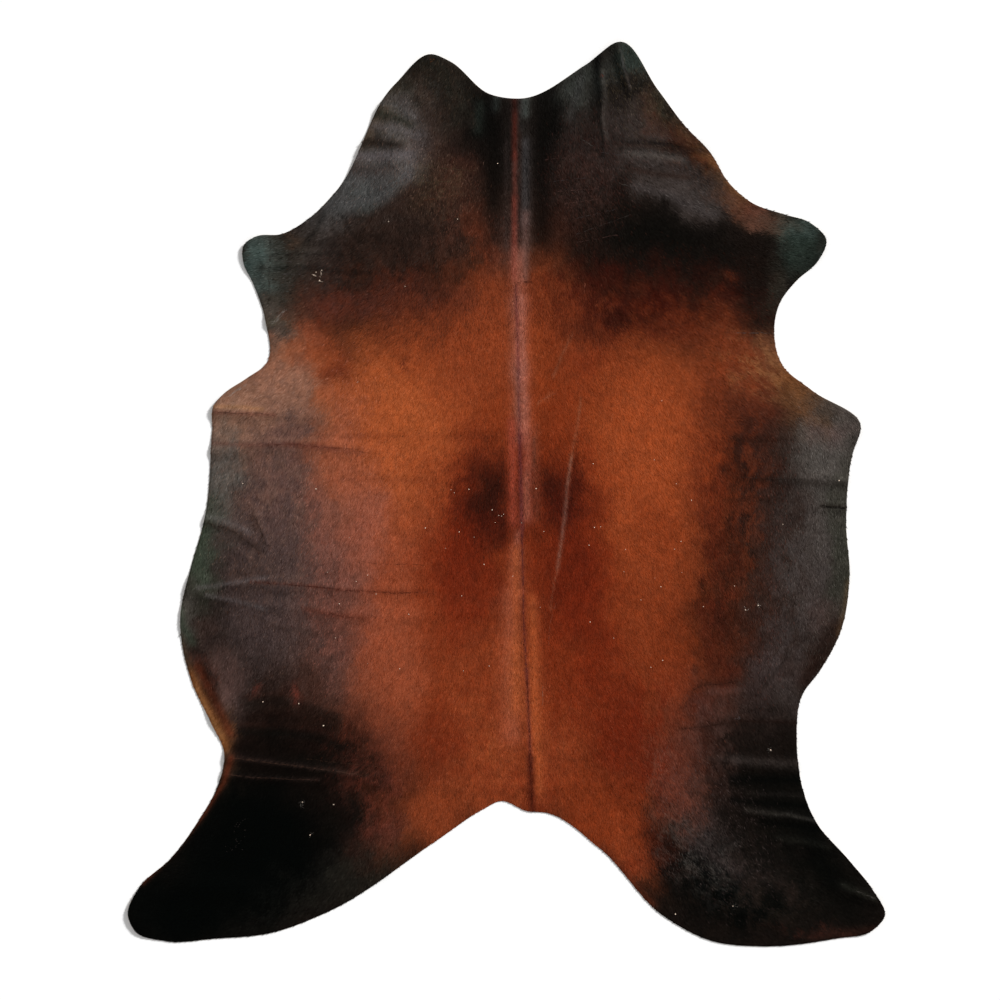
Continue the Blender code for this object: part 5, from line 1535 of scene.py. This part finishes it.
def line_hairs(rng):
    """Hairs along each of HAIR_LINES, strewn evenly along it and to its half-width on each side.

    Returned, as by specks and lint_tufts: places, headings, lengths, widths, lofts and colours.
    """
    runs = []
    for _, half_width, tint, cover, *route in HAIR_LINES:
        line = np.array(route) * CM
        reach = reaches(line)
        count = max(FEWEST_LINE_HAIRS, round(reach[-1] * LINE_HAIRS * half_width * CM))
        at = np.sort(rng.uniform(0, reach[-1], count))
        ahead = on_line(at + LINE_LOOK, reach, line)
        behind = on_line(at - LINE_LOOK, reach, line)
        heading = np.arctan2(*(ahead - behind).T[::-1])
        way = way_of(heading)
        place = on_line(at, reach, line)
        place += half_width * CM * rng.uniform(-1, 1, (count, 1)) * left_of(way)
        place -= LINE_HAIR_LENGTH[0] / 2 * way
        colour = moved(paint(place), to_linear(tint_share(tint)), cover)
        runs.append((place, heading, colour))
    place, heading, colour = (np.concatenate(part) for part in zip(*runs))
    count = len(place)
    length = between(rng, LINE_HAIR_LENGTH, count)
    width = between(rng, LINE_HAIR_WIDTH, count)
    loft = between(rng, LINE_HAIR_LOFT, count)
    return place, heading, length, width, loft, colour


def specks(rng):
    """The specks of lint, each at its place in SPECKS and turned at random."""
    count = len(SPECKS)
    place = np.array([(x, y) for x, y, _ in SPECKS]) * CM
    width = np.array([size for _, _, size in SPECKS]) * MM
    heading = between(rng, (0, 2 * np.pi), count)
    loft = np.full(count, LINE_HAIR_LOFT[1])
    colour = np.tile(to_linear(tint_share("lint")), (count, 1))
    return place, heading, SPECK_LENGTH * width, width, loft, colour


def lint_tufts(rng):
    """The hairs of LINT_TUFTS, which gather about each middle and are turned at random."""
    places, colours = [], []
    for x, y, width, height, count, tint in LINT_TUFTS:
        place = ((x, y) + LINT_SPREAD * rng.normal(size=(count, 2)) * (width, height)) * CM
        cover = between(rng, LINT_COVER, (count, 1))
        places.append(place)
        colours.append(moved(paint(place), to_linear(tint_share(tint)), cover))
    place, colour = np.concatenate(places), np.concatenate(colours)
    count = len(place)
    length = between(rng, LINT_LENGTH, count)
    width = between(rng, LINT_WIDTH, count)
    heading = between(rng, (0, 2 * np.pi), count)
    loft = np.full(count, LINE_HAIR_LOFT[1])
    return place, heading, length, width, loft, colour


def make_lines(material):
    """The piece laid over the coat: the hairs of the lines, and specks and tufts of lint."""
    rng = np.random.default_rng(LINE_SEED)
    parts = (line_hairs(rng), specks(rng), lint_tufts(rng))
    columns = (np.concatenate(column) for column in zip(*parts))
    place, heading, length, width, loft, colour = columns
    kept = past_edge(place) < -length
    heading, colour = heading[kept], colour[kept]
    bend = LINE_HAIR_BEND * rng.normal(size=kept.sum())
    shape = locks_shape(
        place[kept], heading, bend, length[kept], width[kept], loft[kept], colour, colour
    )
    return put_locks("coat_lines", shape, heading, material)


def new_material(name):
    """A new material, its node tree and its shader."""
    material = bpy.data.materials.new(name)
    material.use_nodes = True
    return material, material.node_tree, material.node_tree.nodes["Principled BSDF"]


def set_inputs(node, values):
    """Sets sockets of a node, by name."""
    for socket, value in values.items():
        node.inputs[socket].default_value = value


def attribute(tree, name, output):
    """What the mesh stores at each point under a name."""
    reader = tree.nodes.new("ShaderNodeAttribute")
    reader.attribute_name = name
    return reader.outputs[output]


def noise(tree, place, scale, detail, roughness=0.55):
    """A noise texture's height at a place."""
    texture = tree.nodes.new("ShaderNodeTexNoise")
    set_inputs(texture, {"Scale": scale, "Detail": detail, "Roughness": roughness})
    tree.links.new(place, texture.inputs["Vector"])
    return texture.outputs["Fac"]


def spread(tree, value, limits):
    """The middle of a noise, stretched evenly to run from one limit to the other."""
    remap = tree.nodes.new("ShaderNodeMapRange")
    ends = ("From Min", "From Max", "To Min", "To Max")
    set_inputs(remap, dict(zip(ends, (*NOISE_MIDDLE, *limits))))
    tree.links.new(value, remap.inputs["Value"])
    return remap.outputs["Result"]


def scaled(tree, colour, factor):
    """A colour times a varying factor."""
    product = tree.nodes.new("ShaderNodeVectorMath")
    product.operation = "SCALE"
    tree.links.new(colour, product.inputs["Vector"])
    tree.links.new(factor, product.inputs["Scale"])
    return product.outputs["Vector"]


def add_bump(tree, shader, height, strength, distance):
    """Light falls on the shader as if the surface rose and fell by a height."""
    bump = tree.nodes.new("ShaderNodeBump")
    set_inputs(bump, {"Strength": strength, "Distance": distance})
    tree.links.new(height, bump.inputs["Height"])
    tree.links.new(bump.outputs["Normal"], shader.inputs["Normal"])


def hair_streaks(tree, place):
    """Fine waves that run along the hair: their fronts stand a quarter turn from its lay."""
    quarter = tree.nodes.new("ShaderNodeMath")
    quarter.operation = "ADD"
    quarter.inputs[1].default_value = math.pi / 2
    tree.links.new(attribute(tree, "lay", "Fac"), quarter.inputs[0])
    streaks = tree.nodes.new("ShaderNodeTexGabor")
    streaks.gabor_type = "2D"
    waves = {"Scale": STREAK_SCALE, "Frequency": STREAK_FREQUENCY, "Anisotropy": 1.0}
    set_inputs(streaks, waves)
    tree.links.new(place, streaks.inputs["Vector"])
    tree.links.new(quarter.outputs[0], streaks.inputs["Orientation"])
    return streaks.outputs["Value"]


def make_coat_material():
    """Short glossy cattle hair: the painted colour, grained at the width of a few hairs."""
    material, tree, shader = new_material("cattle hair")
    place = tree.nodes.new("ShaderNodeTexCoord").outputs["Object"]
    grain = noise(tree, place, GRAIN_SCALE, 2.0)
    streaks = hair_streaks(tree, place)
    colour = scaled(tree, attribute(tree, "coat", "Color"), spread(tree, grain, GRAIN_RANGE))
    colour = scaled(tree, colour, spread(tree, streaks, STREAK_RANGE))
    tree.links.new(colour, shader.inputs["Base Color"])
    cloudy = noise(tree, place, GLOSS_CLOUD_SCALE, 3.0)
    tree.links.new(spread(tree, cloudy, COAT_ROUGHNESS), shader.inputs["Roughness"])
    set_inputs(shader, {
        "Specular IOR Level": COAT_SPECULAR,
        "Sheen Weight": COAT_SHEEN,
        "Sheen Roughness": 0.45,
        "Sheen Tint": COAT_SHEEN_TINT,
    })
    add_bump(tree, shader, streaks, 0.35, 0.6 * MM)
    return material


def make_flesh_material():
    """Buffed suede on the flesh side: pale and darker clouds, with a fine nap."""
    material, tree, shader = new_material("flesh side suede")
    place = tree.nodes.new("ShaderNodeTexCoord").outputs["Object"]
    tone = noise(tree, place, FLESH_CLOUD_SCALE, 8.0, 0.65)
    nap = noise(tree, place, NAP_SCALE, 2.0)
    blend = tree.nodes.new("ShaderNodeMix")
    blend.data_type = "RGBA"
    set_inputs(blend, {"A": FLESH_DARK, "B": FLESH_PALE})
    tree.links.new(spread(tree, tone, (0.0, 1.0)), blend.inputs["Factor"])
    colour = scaled(tree, blend.outputs["Result"], spread(tree, nap, NAP_RANGE))
    tree.links.new(colour, shader.inputs["Base Color"])
    tree.links.new(spread(tree, tone, FLESH_ROUGHNESS), shader.inputs["Roughness"])
    set_inputs(shader, {"Specular IOR Level": 0.2, "Sheen Weight": 0.15})
    add_bump(tree, shader, nap, 0.4, 0.3 * MM)
    return material


def make_floor():
    """A plain pale matt square, FLOOR_GAP under the hide."""
    half = FLOOR_SIZE / 2
    corners = ((-half, -half), (half, -half), (half, half), (-half, half))
    mesh = bpy.data.meshes.new("floor")
    mesh.from_pydata([(x, y, -FLOOR_GAP) for x, y in corners], [], [(0, 1, 2, 3)])
    material, _, shader = new_material("pale floor")
    matt = {"Base Color": FLOOR_COLOUR, "Roughness": 0.9, "Specular IOR Level": 0.0}
    set_inputs(shader, matt)
    mesh.materials.append(material)
    floor = bpy.data.objects.new("floor", mesh)
    bpy.context.scene.collection.objects.link(floor)


def make_light():
    """An even white surround, and a broad soft lamp far off at the upper right."""
    scene = bpy.context.scene
    world = bpy.data.worlds.new("studio")
    world.use_nodes = True
    surround = {"Color": WORLD_COLOUR, "Strength": WORLD_STRENGTH}
    set_inputs(world.node_tree.nodes["Background"], surround)
    scene.world = world
    lamp = bpy.data.lights.new("key", "SUN")
    lamp.angle = KEY_SPREAD
    lamp.energy = KEY_STRENGTH
    key = bpy.data.objects.new("key", lamp)
    level = math.cos(KEY_RISE)
    towards = Vector((level * math.cos(KEY_SIDE), level * math.sin(KEY_SIDE), math.sin(KEY_RISE)))
    key.location = KEY_DISTANCE * towards
    key.rotation_euler = (-towards).to_track_quat("-Z", "Y").to_euler()
    scene.collection.objects.link(key)
    scene.view_settings.view_transform = "Standard"


def make_camera():
    """Straight above, far off and long, so that VIEW_WIDTH fills the frame's width."""
    lens = bpy.data.cameras.new("camera")
    lens.sensor_width = SENSOR
    lens.lens = SENSOR * CAMERA_HEIGHT / (VIEW_WIDTH * CM)
    lens.clip_end = CAMERA_REACH
    camera = bpy.data.objects.new("camera", lens)
    camera.location = (*(np.array(VIEW_MIDDLE) * CM + FRAME_SHIFT), CAMERA_HEIGHT)
    bpy.context.scene.collection.objects.link(camera)
    bpy.context.scene.camera = camera


coat_material = make_coat_material()
leather = make_leather(coat_material, make_flesh_material())
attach(leather, "root")
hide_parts("hide")
hairs = [*make_coat(coat_material), make_lines(coat_material)]
for piece in hairs:
    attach(piece, "root")
make_floor()
make_light()
make_camera()
